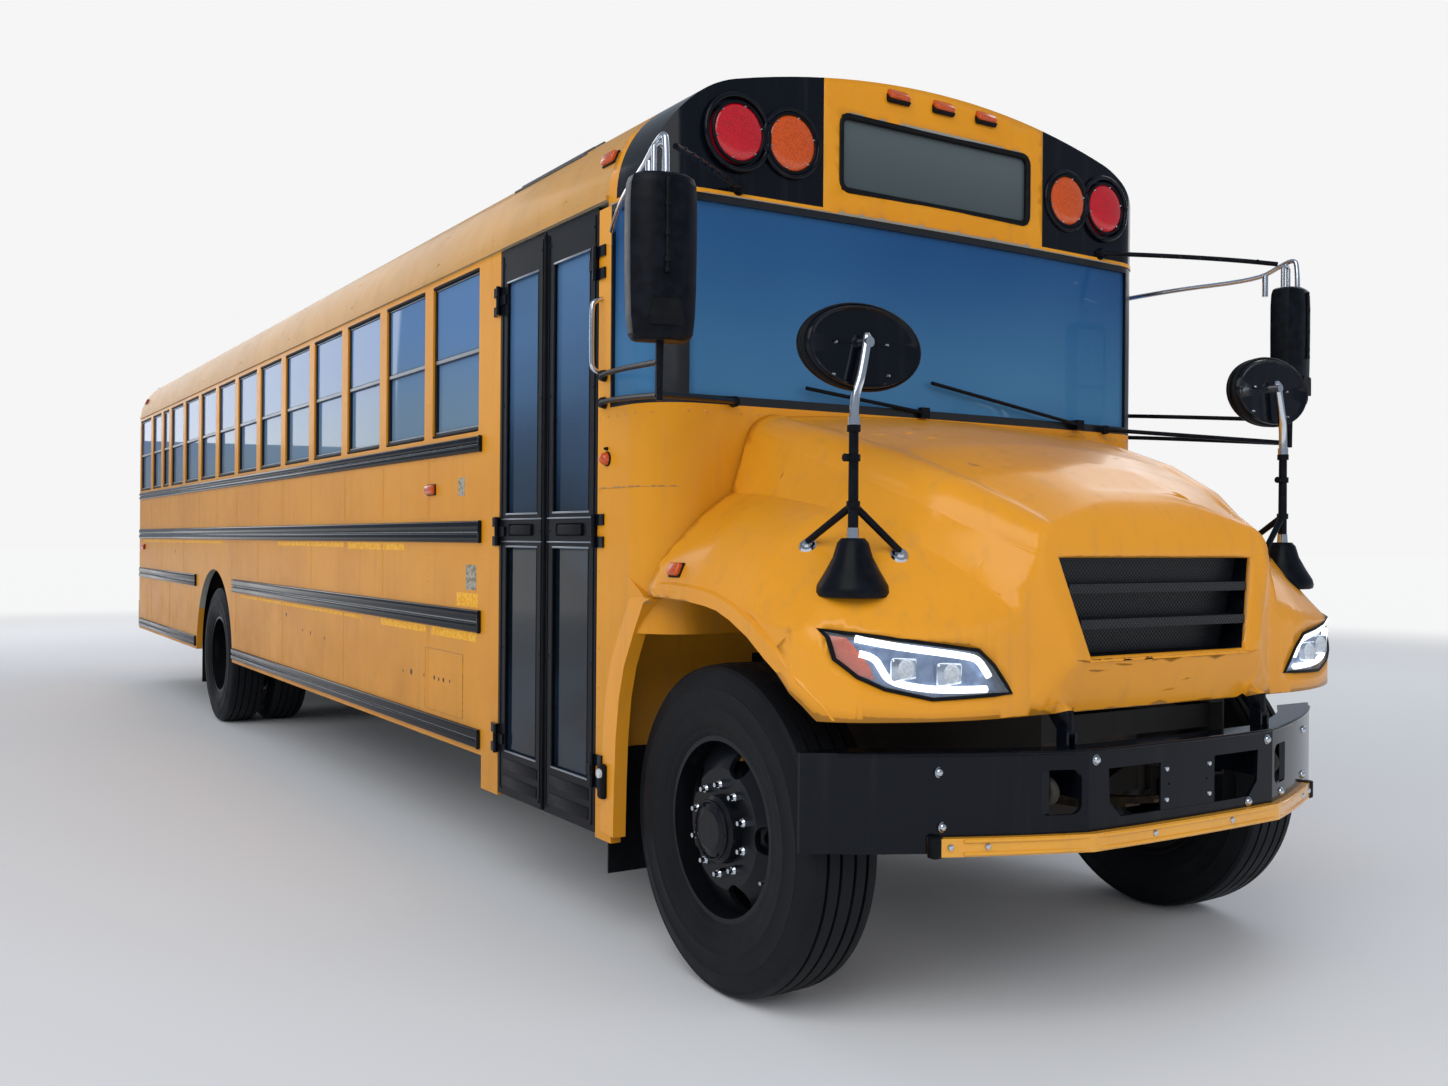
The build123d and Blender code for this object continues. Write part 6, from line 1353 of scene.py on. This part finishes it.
class BUS_OT_side_mirrors(bpy.types.Operator):
    """Build the tall mirrors' housings, glass, chrome loops, arms and brackets"""

    bl_idname = "bus.side_mirrors"
    bl_label = "Side mirrors"

    # Plan of a housing: X ahead of its middle and Y from it
    section = (
        (-0.055, -0.098), (-0.025, -0.106), (0.018, -0.099), (0.042, -0.074), (0.055, -0.044), (0.0575, 0.0),
        (0.055, 0.044), (0.042, 0.074), (0.018, 0.099), (-0.025, 0.106), (-0.055, 0.098),
    )
    # Height, share of the plan's size, and lean outwards
    heights = (
        (2.020, 0.70, 0.012), (2.026, 0.82, 0.010), (2.040, 0.90, 0.008), (2.090, 0.955, 0.004), (2.180, 0.985, 0.0),
        (2.300, 1.0, 0.0), (2.420, 1.0, 0.0), (2.470, 0.97, 0.0), (2.490, 0.90, 0.0), (2.498, 0.78, 0.0),
    )

    def execute(self, context):
        x = front_axle_x + 0.250
        for word, side in (("right", -1), ("left", 1)):
            y = side * 1.490
            shell = bmesh.new()
            face = shell.faces.new([shell.verts.new((ahead_x, out, 0)) for ahead_x, out in self.section])
            last = 1.0
            bmesh.ops.translate(shell, vec=(x, y, self.heights[0][0]), verts=shell.verts)
            bmesh.ops.scale(shell, vec=(self.heights[0][1],) * 2 + (1,), space=Matrix.Translation((-x, -y, 0)), verts=shell.verts)
            last_z, last = self.heights[0][:2]
            for height, share, lean in self.heights[1:]:
                pushed = bmesh.ops.extrude_face_region(shell, geom=[face])["geom"]
                face = next(one for one in pushed if isinstance(one, bmesh.types.BMFace))
                verts = list(face.verts)
                bmesh.ops.translate(shell, vec=(0, 0, height - last_z), verts=verts)
                bmesh.ops.scale(shell, vec=(share / last,) * 2 + (1,), space=Matrix.Translation((-x, -y, 0)), verts=verts)
                last_z, last = height, share
            bmesh.ops.rotate(shell, cent=(x, y, 0), matrix=Matrix.Rotation(side * 0.26, 3, "Z"), verts=shell.verts)
            housing = piece("side_mirror_shell_" + word, shell, "root", "satin", 32)
            glass = bmesh.new()
            for low, high in ((2.060, 2.185), (2.200, 2.465)):
                slab(glass, [(x - 0.0535, y - 0.080, low), (x - 0.0535, y + 0.080, low), (x - 0.0535, y + 0.080, high), (x - 0.0535, y - 0.080, high)], (-0.004, 0, 0), 0.02)
            bmesh.ops.rotate(glass, cent=(x, y, 0), matrix=Matrix.Rotation(side * 0.26, 3, "Z"), verts=glass.verts)
            piece("side_mirror_glass_" + word, glass, "root", "mirror", 40)
            recess = bmesh.new()
            slab(recess, [(x + 0.055, y - 0.052, 2.060), (x + 0.055, y + 0.052, 2.060), (x + 0.0585, y + 0.040, 2.135), (x + 0.0585, y - 0.040, 2.135)], (0.003, 0, 0), 0.008)
            rod(recess, (x + 0.060, y, 2.480), (x + 0.060, y, 2.215), 0.006, 0.005, 10)
            for z in (2.405, 2.320, 2.245, 2.215):
                rod(recess, (x + 0.060, y, z - 0.007), (x + 0.060, y, z + 0.007), 0.009, 0.009, 10)
            bmesh.ops.rotate(recess, cent=(x, y, 0), matrix=Matrix.Rotation(side * 0.26, 3, "Z"), verts=recess.verts)
            piece("side_mirror_recess_" + word, recess, "root", "rubber", 40)
            chrome = bmesh.new()
            path = [
                (x + 0.020, y, 2.488), (x + 0.020, y, 2.590), (x + 0.004, y, 2.622), (x - 0.060, y - side * 0.006, 2.600),
                (x - 0.150, y - side * 0.020, 2.560), (4.800, side * 1.350, 2.560), (4.530, side * 1.236, 2.530),
            ]
            tube(chrome, path, 0.0100, True, False, 3)
            for out in (-0.012, 0.024):
                tube(chrome, [(x - 0.030, y - side * out, 2.488), (x - 0.030, y - side * out, 2.590)], 0.0085, False, False, 3)
            tube(chrome, [(x - 0.030, y + side * 0.012, 2.588), (x - 0.030, y - side * 0.006, 2.612), (x - 0.030, y - side * 0.024, 2.588)], 0.0085, True, False, 3)
            rod(chrome, (x - 0.115, y - side * 0.02, 2.484), (x - 0.115, y - side * 0.02, 2.570), 0.012, 0.012, 16)
            piece("side_mirror_loops_" + word, chrome, "root", "chrome", 50)
            bars = bmesh.new()
            tube(bars, [(x - 0.03, y - side * 0.06, 2.600), (5.12, side * 1.250, 2.640), (4.842, side * 0.905, 2.662)], 0.0095, True, False, 3)
            for share in range(1, 9):
                spot = Vector((x - 0.03, y - side * 0.06, 2.607)).lerp(Vector((4.842, side * 0.905, 2.662)), share / 9)
                screw(bars, spot, (0.3, side * 0.4, 1), 0.0125, 0.006, 10)
            foot = Vector((4.842, side * 0.905, 2.662))
            rod(bars, foot - Vector((0.012, 0, 0)), foot + Vector((0.008, 0, 0)), 0.026, 0.020, 18)
            for z in (2.031, 1.935):
                rod(bars, (4.455, side * 1.222, z), (4.455, side * 1.240, z), 0.022, 0.018, 16)
                tube(bars, [(4.455, side * 1.236, z), (4.62, side * 1.290, z - 0.004), (x - 0.02, y, z - 0.068)], 0.009, True, False, 3)
            rod(bars, (x - 0.01, y, 2.025), (x - 0.01, y, 1.850), 0.012, 0.010, 14)
            tube(bars, [(x - 0.01, y, 1.868), (5.10, side * 1.200, 1.895), (4.850, side * 0.925, 1.925)], 0.009, True, False, 3)
            rod(bars, (4.838, side * 0.925, 1.925), (4.856, side * 0.925, 1.925), 0.020, 0.018, 16)
            piece("side_mirror_bars_" + word, bars, "root", "satin", 50)
        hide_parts("rear_view_mirrors")
        return {"FINISHED"}


class BUS_OT_entrance(bpy.types.Operator):
    """Add the entrance door's seals, edges, handles, kick plates and the cowl's fittings"""

    bl_idname = "bus.entrance"
    bl_label = "Entrance"

    def execute(self, context):
        rows = (("front", "door_front", 4.394, 3.957), ("rear", "door_rear", 3.943, 3.506))
        for word, body, front, rear in rows:
            trims, seals = bmesh.new(), bmesh.new()
            for low, high in ((0.570, 1.425), (1.545, 2.512)):
                for z in (low + 0.002, high - 0.010):
                    box(trims, (rear + 0.062, -side_y - 0.002, z), (front - 0.062, -side_y + 0.006, z + 0.008), 0.002, 2)
                for x in (rear + 0.064, front - 0.070):
                    box(seals, (x, -side_y - 0.001, low + 0.01), (x + 0.006, -side_y + 0.006, high - 0.01), 0.002, 2)
            for z in (1.436, 1.527):
                box(trims, (rear + 0.02, -side_y - 0.004, z), (front - 0.02, -side_y + 0.002, z + 0.006), 0.002, 2)
            box(seals, (rear + 0.11, -side_y - 0.006, 1.462), (front - 0.11, -side_y + 0.002, 1.510), 0.010, 3)
            middle_x = rear if word == "front" else front
            way = -1 if word == "front" else 1
            near, far = sorted((middle_x, middle_x + way * 0.0055))
            box(seals, (near, -side_y - 0.008, 0.40), (far, -side_y + 0.036, 2.63), 0.002, 2)
            for x in (rear + 0.02, front - 0.026):
                box(seals, (x, -side_y - 0.003, 0.42), (x + 0.006, -side_y + 0.001, 2.62), 0.002, 2)
            piece("door_trims_" + word, trims, body, "alu", 40)
            piece("door_seals_" + word, seals, body, "rubber", 40)
            plates = bmesh.new()
            for z in (0.43, 0.50):
                box(plates, (rear + 0.05, -side_y - 0.0022, z), (front - 0.05, -side_y + 0.001, z + 0.045), 0.002, 2)
            for x in (rear + 0.035, front - 0.035):
                for z in (0.42, 1.0, 1.48, 2.0, 2.58):
                    screw(plates, (x, -side_y, z), (0, -1, 0), 0.006, 0.003, 10)
            piece("door_plates_" + word, plates, body, "satin", 40)
        chrome = bmesh.new()
        tube(chrome, [(4.428, -side_y + 0.004, 2.31), (4.428, -side_y - 0.036, 2.30), (4.428, -side_y - 0.042, 2.27), (4.428, -side_y - 0.042, 2.08), (4.428, -side_y - 0.036, 2.05), (4.428, -side_y + 0.004, 2.04)], 0.009, True, False, 3)
        piece("grab_handle", chrome, "root", "chrome", 50)
        posts, edges = bmesh.new(), bmesh.new()
        box(posts, (4.452, -side_y - 0.024, 0.530), (4.496, -side_y + 0.002, 0.655), 0.012, 3)
        rod(posts, (4.460, -side_y - 0.012, 0.545), (4.440, -side_y - 0.012, 0.585), 0.007, 0.007, 10)
        piece("step_lamp_box", posts, "root", "rubber", 40)
        turned(edges, [(0.0, 0.018), (0.008, 0.016), (0.013, 0.0)], (4.476, -side_y - 0.022, 0.622), (0, -1, 0), 24)
        piece("step_lamp_lens", edges, "root", "clear", 50)
        seam, pins = bmesh.new(), bmesh.new()
        cowl = skin_of("cowl")
        for side in (-1, 1):
            for step in range(12):
                x = 4.415 + step * 0.032
                spot, normal = beside(cowl, x, 1.632, side)
                far, _ = beside(cowl, x + 0.032, 1.632, side)
                if spot and far and (far - spot).length < 0.09:
                    rod(seam, spot, far, 0.0032, 0.0032, 6)
                top, normal = beside(cowl, x, 1.885, side)
                if top and step % 2 == 0:
                    screw(pins, top, normal, 0.006, 0.003, 8)
            for step in range(9):
                spot, normal = beside(cowl, 4.418, 0.50 + step * 0.14, side)
                if spot:
                    screw(pins, spot, normal, 0.005, 0.003, 8)
        for step in range(-16, 17):
            spot, normal, _, _ = cowl.ray_cast(Vector((9, step * 0.068, 1.890)), Vector((-1, 0, 0)))
            if spot:
                screw(pins, spot, normal, 0.006, 0.003, 8)
        piece("cowl_seams", seam, "root", "ghost", 60)
        piece("cowl_rivets", pins, "root", "body", 40)
        tread = bmesh.new()
        for z, y in ((0.411, 1.12), (0.628, 0.935), (0.844, 0.735)):
            box(tread, (3.52, -y - 0.02, z), (4.38, -y + 0.02, z + 0.004), 0.0015, 1)
        piece("step_noses", tread, "root", "alu", 40)
        pole = bmesh.new()
        tube(pole, [(3.56, -0.62, 1.05), (3.56, -0.70, 1.55), (3.58, -1.05, 1.45), (3.62, -1.10, 0.95)], 0.016, True, False, 3)
        tube(pole, [(4.34, -0.62, 1.05), (4.34, -0.70, 1.65), (4.34, -1.05, 1.45), (4.33, -1.12, 1.0)], 0.016, True, False, 3)
        piece("entrance_rails", pole, "root", "alu", 50)
        return {"FINISHED"}


class BUS_OT_seats(bpy.types.Operator):
    """Pad the seats: crowned cushions and backs"""

    bl_idname = "bus.seats"
    bl_label = "Seats"

    def execute(self, context):
        for row in range(11):
            x = 2.9 - row * 0.7
            for side in (-1, 1):
                y = side * 0.670
                name = f"bench_{row + 1}_{'right' if side < 0 else 'left'}"
                self.pad(name + "_cushion", (x, y, 1.450), (0.39, 0.97, 0.115), 0.030, 2)
                self.pad(name + "_back", (x - 0.2455, y, 1.765), (0.085, 0.97, 0.735), 0.022, 0)
        self.pad("driver_cushion", (3.925, 0.560, 1.520), (0.44, 0.45, 0.115), 0.030, 2)
        self.pad("driver_back", (3.650, 0.560, 1.885), (0.095, 0.45, 0.83), 0.026, 0)
        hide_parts("seats")
        return {"FINISHED"}

    def pad(self, name, centre, size, crown, up):
        """One pad: a block drawn in at its corners and swollen on its faces."""
        bm = bmesh.new()
        bmesh.ops.create_cube(bm, size=1.0, matrix=Matrix.LocRotScale(None, None, size))
        bmesh.ops.subdivide_edges(bm, edges=bm.edges, cuts=3, use_grid_fill=True)
        half = Vector(size) / 2
        for vert in bm.verts:
            shares = [vert.co[axis] / half[axis] for axis in range(3)]
            swell = [(1 - shares[(axis + 1) % 3] ** 2) * (1 - shares[(axis + 2) % 3] ** 2) for axis in range(3)]
            for axis in range(3):
                if abs(shares[axis]) > 0.99:
                    full = crown if axis == up else crown * 0.3
                    if axis == 2 and shares[axis] < 0:
                        full = 0
                    vert.co[axis] += math.copysign(full * (swell[axis] - 0.45), shares[axis])
        bmesh.ops.translate(bm, vec=centre, verts=bm.verts)
        made = piece(name, bm, "root", "seat", 180)
        rounder = made.modifiers.new("Round", "SUBSURF")
        rounder.levels = rounder.render_levels = 1
        return made


class BUS_OT_cab(bpy.types.Operator):
    """Add gauges and a padded wheel rim"""

    bl_idname = "bus.cab"
    bl_label = "Cab"

    def execute(self, context):
        tilt = math.radians(40)
        axis = Vector((-math.cos(tilt), 0, math.sin(tilt)))
        rim = bmesh.new()
        ring(rim, Vector((4.400, 0.560, 1.820)) + axis * 0.012, axis, 0.210, 0.017, 48, 10)
        piece("wheel_rim_cover", rim, "root", "rubber", 60)
        dials = bmesh.new()
        for y, reach in ((0.42, 0.045), (0.56, 0.055), (0.70, 0.045)):
            ring(dials, (4.452, y, 1.800), (-1, 0, 0.4), reach, 0.004, 32, 8)
        piece("gauge_rings", dials, "root", "chrome", 50)
        return {"FINISHED"}


class BUS_OT_rear(bpy.types.Operator):
    """Add the rear lamps, door handle, seals, plate holder and pale strips"""

    bl_idname = "bus.rear"
    bl_label = "Rear"

    def execute(self, context):
        x = body_rear_x
        red, amber, clear, rings = bmesh.new(), bmesh.new(), bmesh.new(), bmesh.new()
        for side in (-1, 1):
            for bm, y, z, reach in ((red, 0.98, 1.600, 0.090), (amber, 0.98, 1.370, 0.090), (red, 0.74, 1.370, 0.060), (clear, 0.74, 1.215, 0.055)):
                centre = (x - 0.002, side * y, z)
                turned(bm, [(0.0, reach), (0.012, reach * 0.95), (0.02, reach * 0.7), (0.024, 0.0)], centre, (-1, 0, 0), 40)
                ring(rings, (x - 0.002, side * y, z), (-1, 0, 0), reach + 0.006, 0.008, 48, 8)
        for y in (-0.22, 0, 0.22):
            box(red, (x - 0.020, y - 0.045, 3.015), (x + 0.001, y + 0.045, 3.050), 0.008, 3)
        piece("rear_red_lenses", red, "root", "red", 50)
        piece("rear_amber_lenses", amber, "root", "amber", 50)
        piece("rear_clear_lenses", clear, "root", "clear", 50)
        piece("rear_lamp_rings", rings, "root", "rubber", 50)
        handle, seals = bmesh.new(), bmesh.new()
        tube(handle, [(x - 0.004, 0.36, 1.72), (x - 0.05, 0.36, 1.71), (x - 0.055, 0.34, 1.70), (x - 0.055, 0.24, 1.70)], 0.010, True, False, 3)
        box(handle, (x - 0.014, 0.325, 1.66), (x + 0.001, 0.40, 1.76), 0.005, 2)
        piece("emergency_handle", handle, "emergency_door", "chrome", 50)
        for low, high in ((1.205, 1.640), (1.860, 2.380)):
            corners = [(x - 0.001, -0.32, low), (x - 0.001, 0.32, low), (x - 0.001, 0.32, high), (x - 0.001, -0.32, high)]
            tube(seals, corners, 0.009, False, True, 2)
        piece("emergency_seals", seals, "emergency_door", "rubber", 50)
        wall_seals, strips, rivets = bmesh.new(), bmesh.new(), bmesh.new()
        for side in (-1, 1):
            corners = [(x - 0.001, side * 0.77 + dy, z) for dy, z in ((-0.21, 1.860), (0.21, 1.860), (0.21, 2.440), (-0.21, 2.440))]
            tube(wall_seals, corners, 0.010, False, True, 2)
            near, far = sorted((side * 0.49, side * 1.18))
            for z in (1.043, 1.800):
                box(strips, (x - 0.0022, near, z), (x + 0.001, far, z + 0.04), 0.001, 1)
            for row in range(20):
                screw(rivets, (x, side * 1.19, 0.62 + row * 0.10), (-1, 0, 0), 0.005, 0.002, 6)
                screw(rivets, (x, side * 0.50, 0.62 + row * 0.10), (-1, 0, 0), 0.005, 0.002, 6)
        piece("rear_window_seals", wall_seals, "root", "rubber", 50)
        piece("rear_strips", strips, "root", "bright", 30)
        piece("rear_rivets", rivets, "root", "body", 60)
        plate = bmesh.new()
        slab(plate, [(x - 0.002, y, z) for y, z in ((-0.16, 0.86), (0.16, 0.86), (0.16, 1.02), (-0.16, 1.02))], (-0.004, 0, 0), 0.01)
        piece("rear_plate", plate, "root", "alu", 40)
        return {"FINISHED"}


class BUS_OT_stop_arm(bpy.types.Operator):
    """Add the stop arm's pale border and lamps"""

    bl_idname = "bus.stop_arm"
    bl_label = "Stop arm"

    def execute(self, context):
        centre = Vector((3.260 - 0.120 - 0.225, 0, 1.660))
        border, lamps = bmesh.new(), bmesh.new()
        points = []
        reach = 0.205 / math.cos(math.pi / 8)
        for turn in range(8):
            angle = (turn + 0.5) * math.tau / 8
            points.append(Vector((centre.x + reach * math.cos(angle), 1.2605, centre.z + reach * math.sin(angle))))
        tube(border, points, 0.005, False, True, 1)
        bmesh.ops.scale(border, vec=(1, 0.3, 1), space=Matrix.Translation((0, -1.2605, 0)), verts=border.verts)
        piece("stop_arm_border", border, "stop_arm", "white", 40)
        for z in (1.775, 1.545):
            turned(lamps, [(0.0, 0.045), (0.008, 0.042), (0.012, 0.0)], (centre.x, 1.259, z), (0, 1, 0), 32)
        piece("stop_arm_lamps", lamps, "stop_arm", "red", 50)
        return {"FINISHED"}


class BUS_OT_stage(bpy.types.Operator):
    """Set the floor, backdrop, lamps, world and camera"""

    bl_idname = "bus.stage"
    bl_label = "Stage"

    def execute(self, context):
        scene = context.scene
        scene.view_settings.view_transform = "Standard"
        bm = bmesh.new()
        bmesh.ops.create_grid(bm, x_segments=1, y_segments=1, size=170)
        mesh = bpy.data.meshes.new("studio_floor")
        bm.to_mesh(mesh)
        bm.free()
        floor = bpy.data.objects.new("studio_floor", mesh)
        scene.collection.objects.link(floor)
        look = Finish("studio_floor", (0.84, 0.84, 0.84), Roughness=0.9, Emission_Strength=1.0)
        mottle = look.noise(0.8, 2.0)
        far = look.step(look.axis("X") * look.axis("X") + look.axis("Y") * look.axis("Y"), 60.0, 420.0)
        near = look.blend(mottle * 0.3, (0.86, 0.86, 0.86), (0.82, 0.82, 0.83))
        look.link("Base Color", look.blend(far, near, (0, 0, 0)))
        look.link("Emission Color", look.blend(far, (0, 0, 0), (0.9, 0.9, 0.9)))
        mesh.materials.append(look.material)
        for name, place, target, size, power in (
            ("key", (10, -8, 9), (2, 0, 1.3), 9, 620),
            ("fill", (0, -15, 6), (-1, 0, 1.2), 12, 620),
            ("front", (16, 3, 6), (5, 0, 1.2), 9, 420),
            ("far", (0, 12, 9), (0, 0, 1.5), 9, 420),
            ("back", (-14, -2, 7), (-5, 0, 1.5), 9, 420),
        ):
            lamp = bpy.data.lights.new(name, "AREA")
            lamp.shape = "SQUARE"
            lamp.size = size
            lamp.energy = power
            holder = bpy.data.objects.new(name, lamp)
            holder.visible_glossy = name in ("key", "far", "back")
            holder.location = place
            holder.rotation_euler = (Vector(target) - Vector(place)).to_track_quat("-Z", "Y").to_euler()
            scene.collection.objects.link(holder)
        world = bpy.data.worlds.new("studio")
        scene.world = world
        world.use_nodes = True
        tree = world.node_tree
        ground = tree.nodes["Background"]
        ground.inputs[0].default_value = (0.74, 0.84, 1.0, 1)
        ground.inputs[1].default_value = 0.36
        pale = tree.nodes.new("ShaderNodeBackground")
        pale.inputs[0].default_value = (1, 1, 1, 1)
        pale.inputs[1].default_value = 0.92
        path = tree.nodes.new("ShaderNodeLightPath")
        mix = tree.nodes.new("ShaderNodeMixShader")
        tree.links.new(path.outputs["Is Camera Ray"], mix.inputs[0])
        tree.links.new(ground.outputs[0], mix.inputs[1])
        tree.links.new(pale.outputs[0], mix.inputs[2])
        tree.links.new(mix.outputs[0], tree.nodes["World Output"].inputs[0])
        self.camera(scene)
        return {"FINISHED"}

    def camera(self, scene):
        """The camera at the photograph's place: yaw, pitch and roll in radians."""
        yaw, pitch, roll = 2.57434, -0.00102, -0.00764
        look = Vector((math.cos(yaw) * math.cos(pitch), math.sin(yaw) * math.cos(pitch), math.sin(pitch)))
        right = Vector((math.sin(yaw), -math.cos(yaw), 0))
        down = look.cross(right)
        across = right * math.cos(roll) + down * math.sin(roll)
        below = down * math.cos(roll) - right * math.sin(roll)
        data = bpy.data.cameras.new("camera")
        data.sensor_width = 36
        data.lens = 1304.6 / 1448 * 36
        data.clip_end = 200
        holder = bpy.data.objects.new("camera", data)
        turn = Matrix((across, -below, -look)).transposed()
        holder.matrix_world = Matrix.Translation((8.5987, -3.3538, 1.4448)) @ turn.to_4x4()
        scene.collection.objects.link(holder)
        scene.camera = holder


class BUS_PT_panel(bpy.types.Panel):
    """Sidebar panel with every step of the bus"""

    bl_idname = "BUS_PT_panel"
    bl_label = "School bus"
    bl_space_type = "VIEW_3D"
    bl_region_type = "UI"
    bl_category = "Bus"

    def draw(self, context):
        for group in (context.scene.bus_paint, context.scene.bus_sizes):
            for name in group.bl_rna.properties.keys():
                if name not in ("rna_type", "name"):
                    self.layout.prop(group, name)
        for operator in operators:
            self.layout.operator(operator.bl_idname)


operators = (
    BUS_OT_finishes, BUS_OT_stage, BUS_OT_panels, BUS_OT_tyres, BUS_OT_wheel_nuts, BUS_OT_rub_rails, BUS_OT_side_panels,
    BUS_OT_window_lines, BUS_OT_roof_details, BUS_OT_markers, BUS_OT_warning_lamps, BUS_OT_sign,
    BUS_OT_headlamps, BUS_OT_grille, BUS_OT_bumper, BUS_OT_cross_mirrors, BUS_OT_side_mirrors,
    BUS_OT_entrance, BUS_OT_seats, BUS_OT_cab, BUS_OT_rear, BUS_OT_stop_arm,
)
classes = (BusPaint, BusSizes, *operators, BUS_PT_panel)


def register():
    for one in classes:
        bpy.utils.register_class(one)
    bpy.types.Scene.bus_paint = PointerProperty(type=BusPaint)
    bpy.types.Scene.bus_sizes = PointerProperty(type=BusSizes)


def unregister():
    del bpy.types.Scene.bus_paint
    del bpy.types.Scene.bus_sizes
    for one in reversed(classes):
        bpy.utils.unregister_class(one)


def main():
    register()
    for operator in operators:
        group, name = operator.bl_idname.split(".")
        getattr(getattr(bpy.ops, group), name)()


if __name__ == "__main__":
    main()
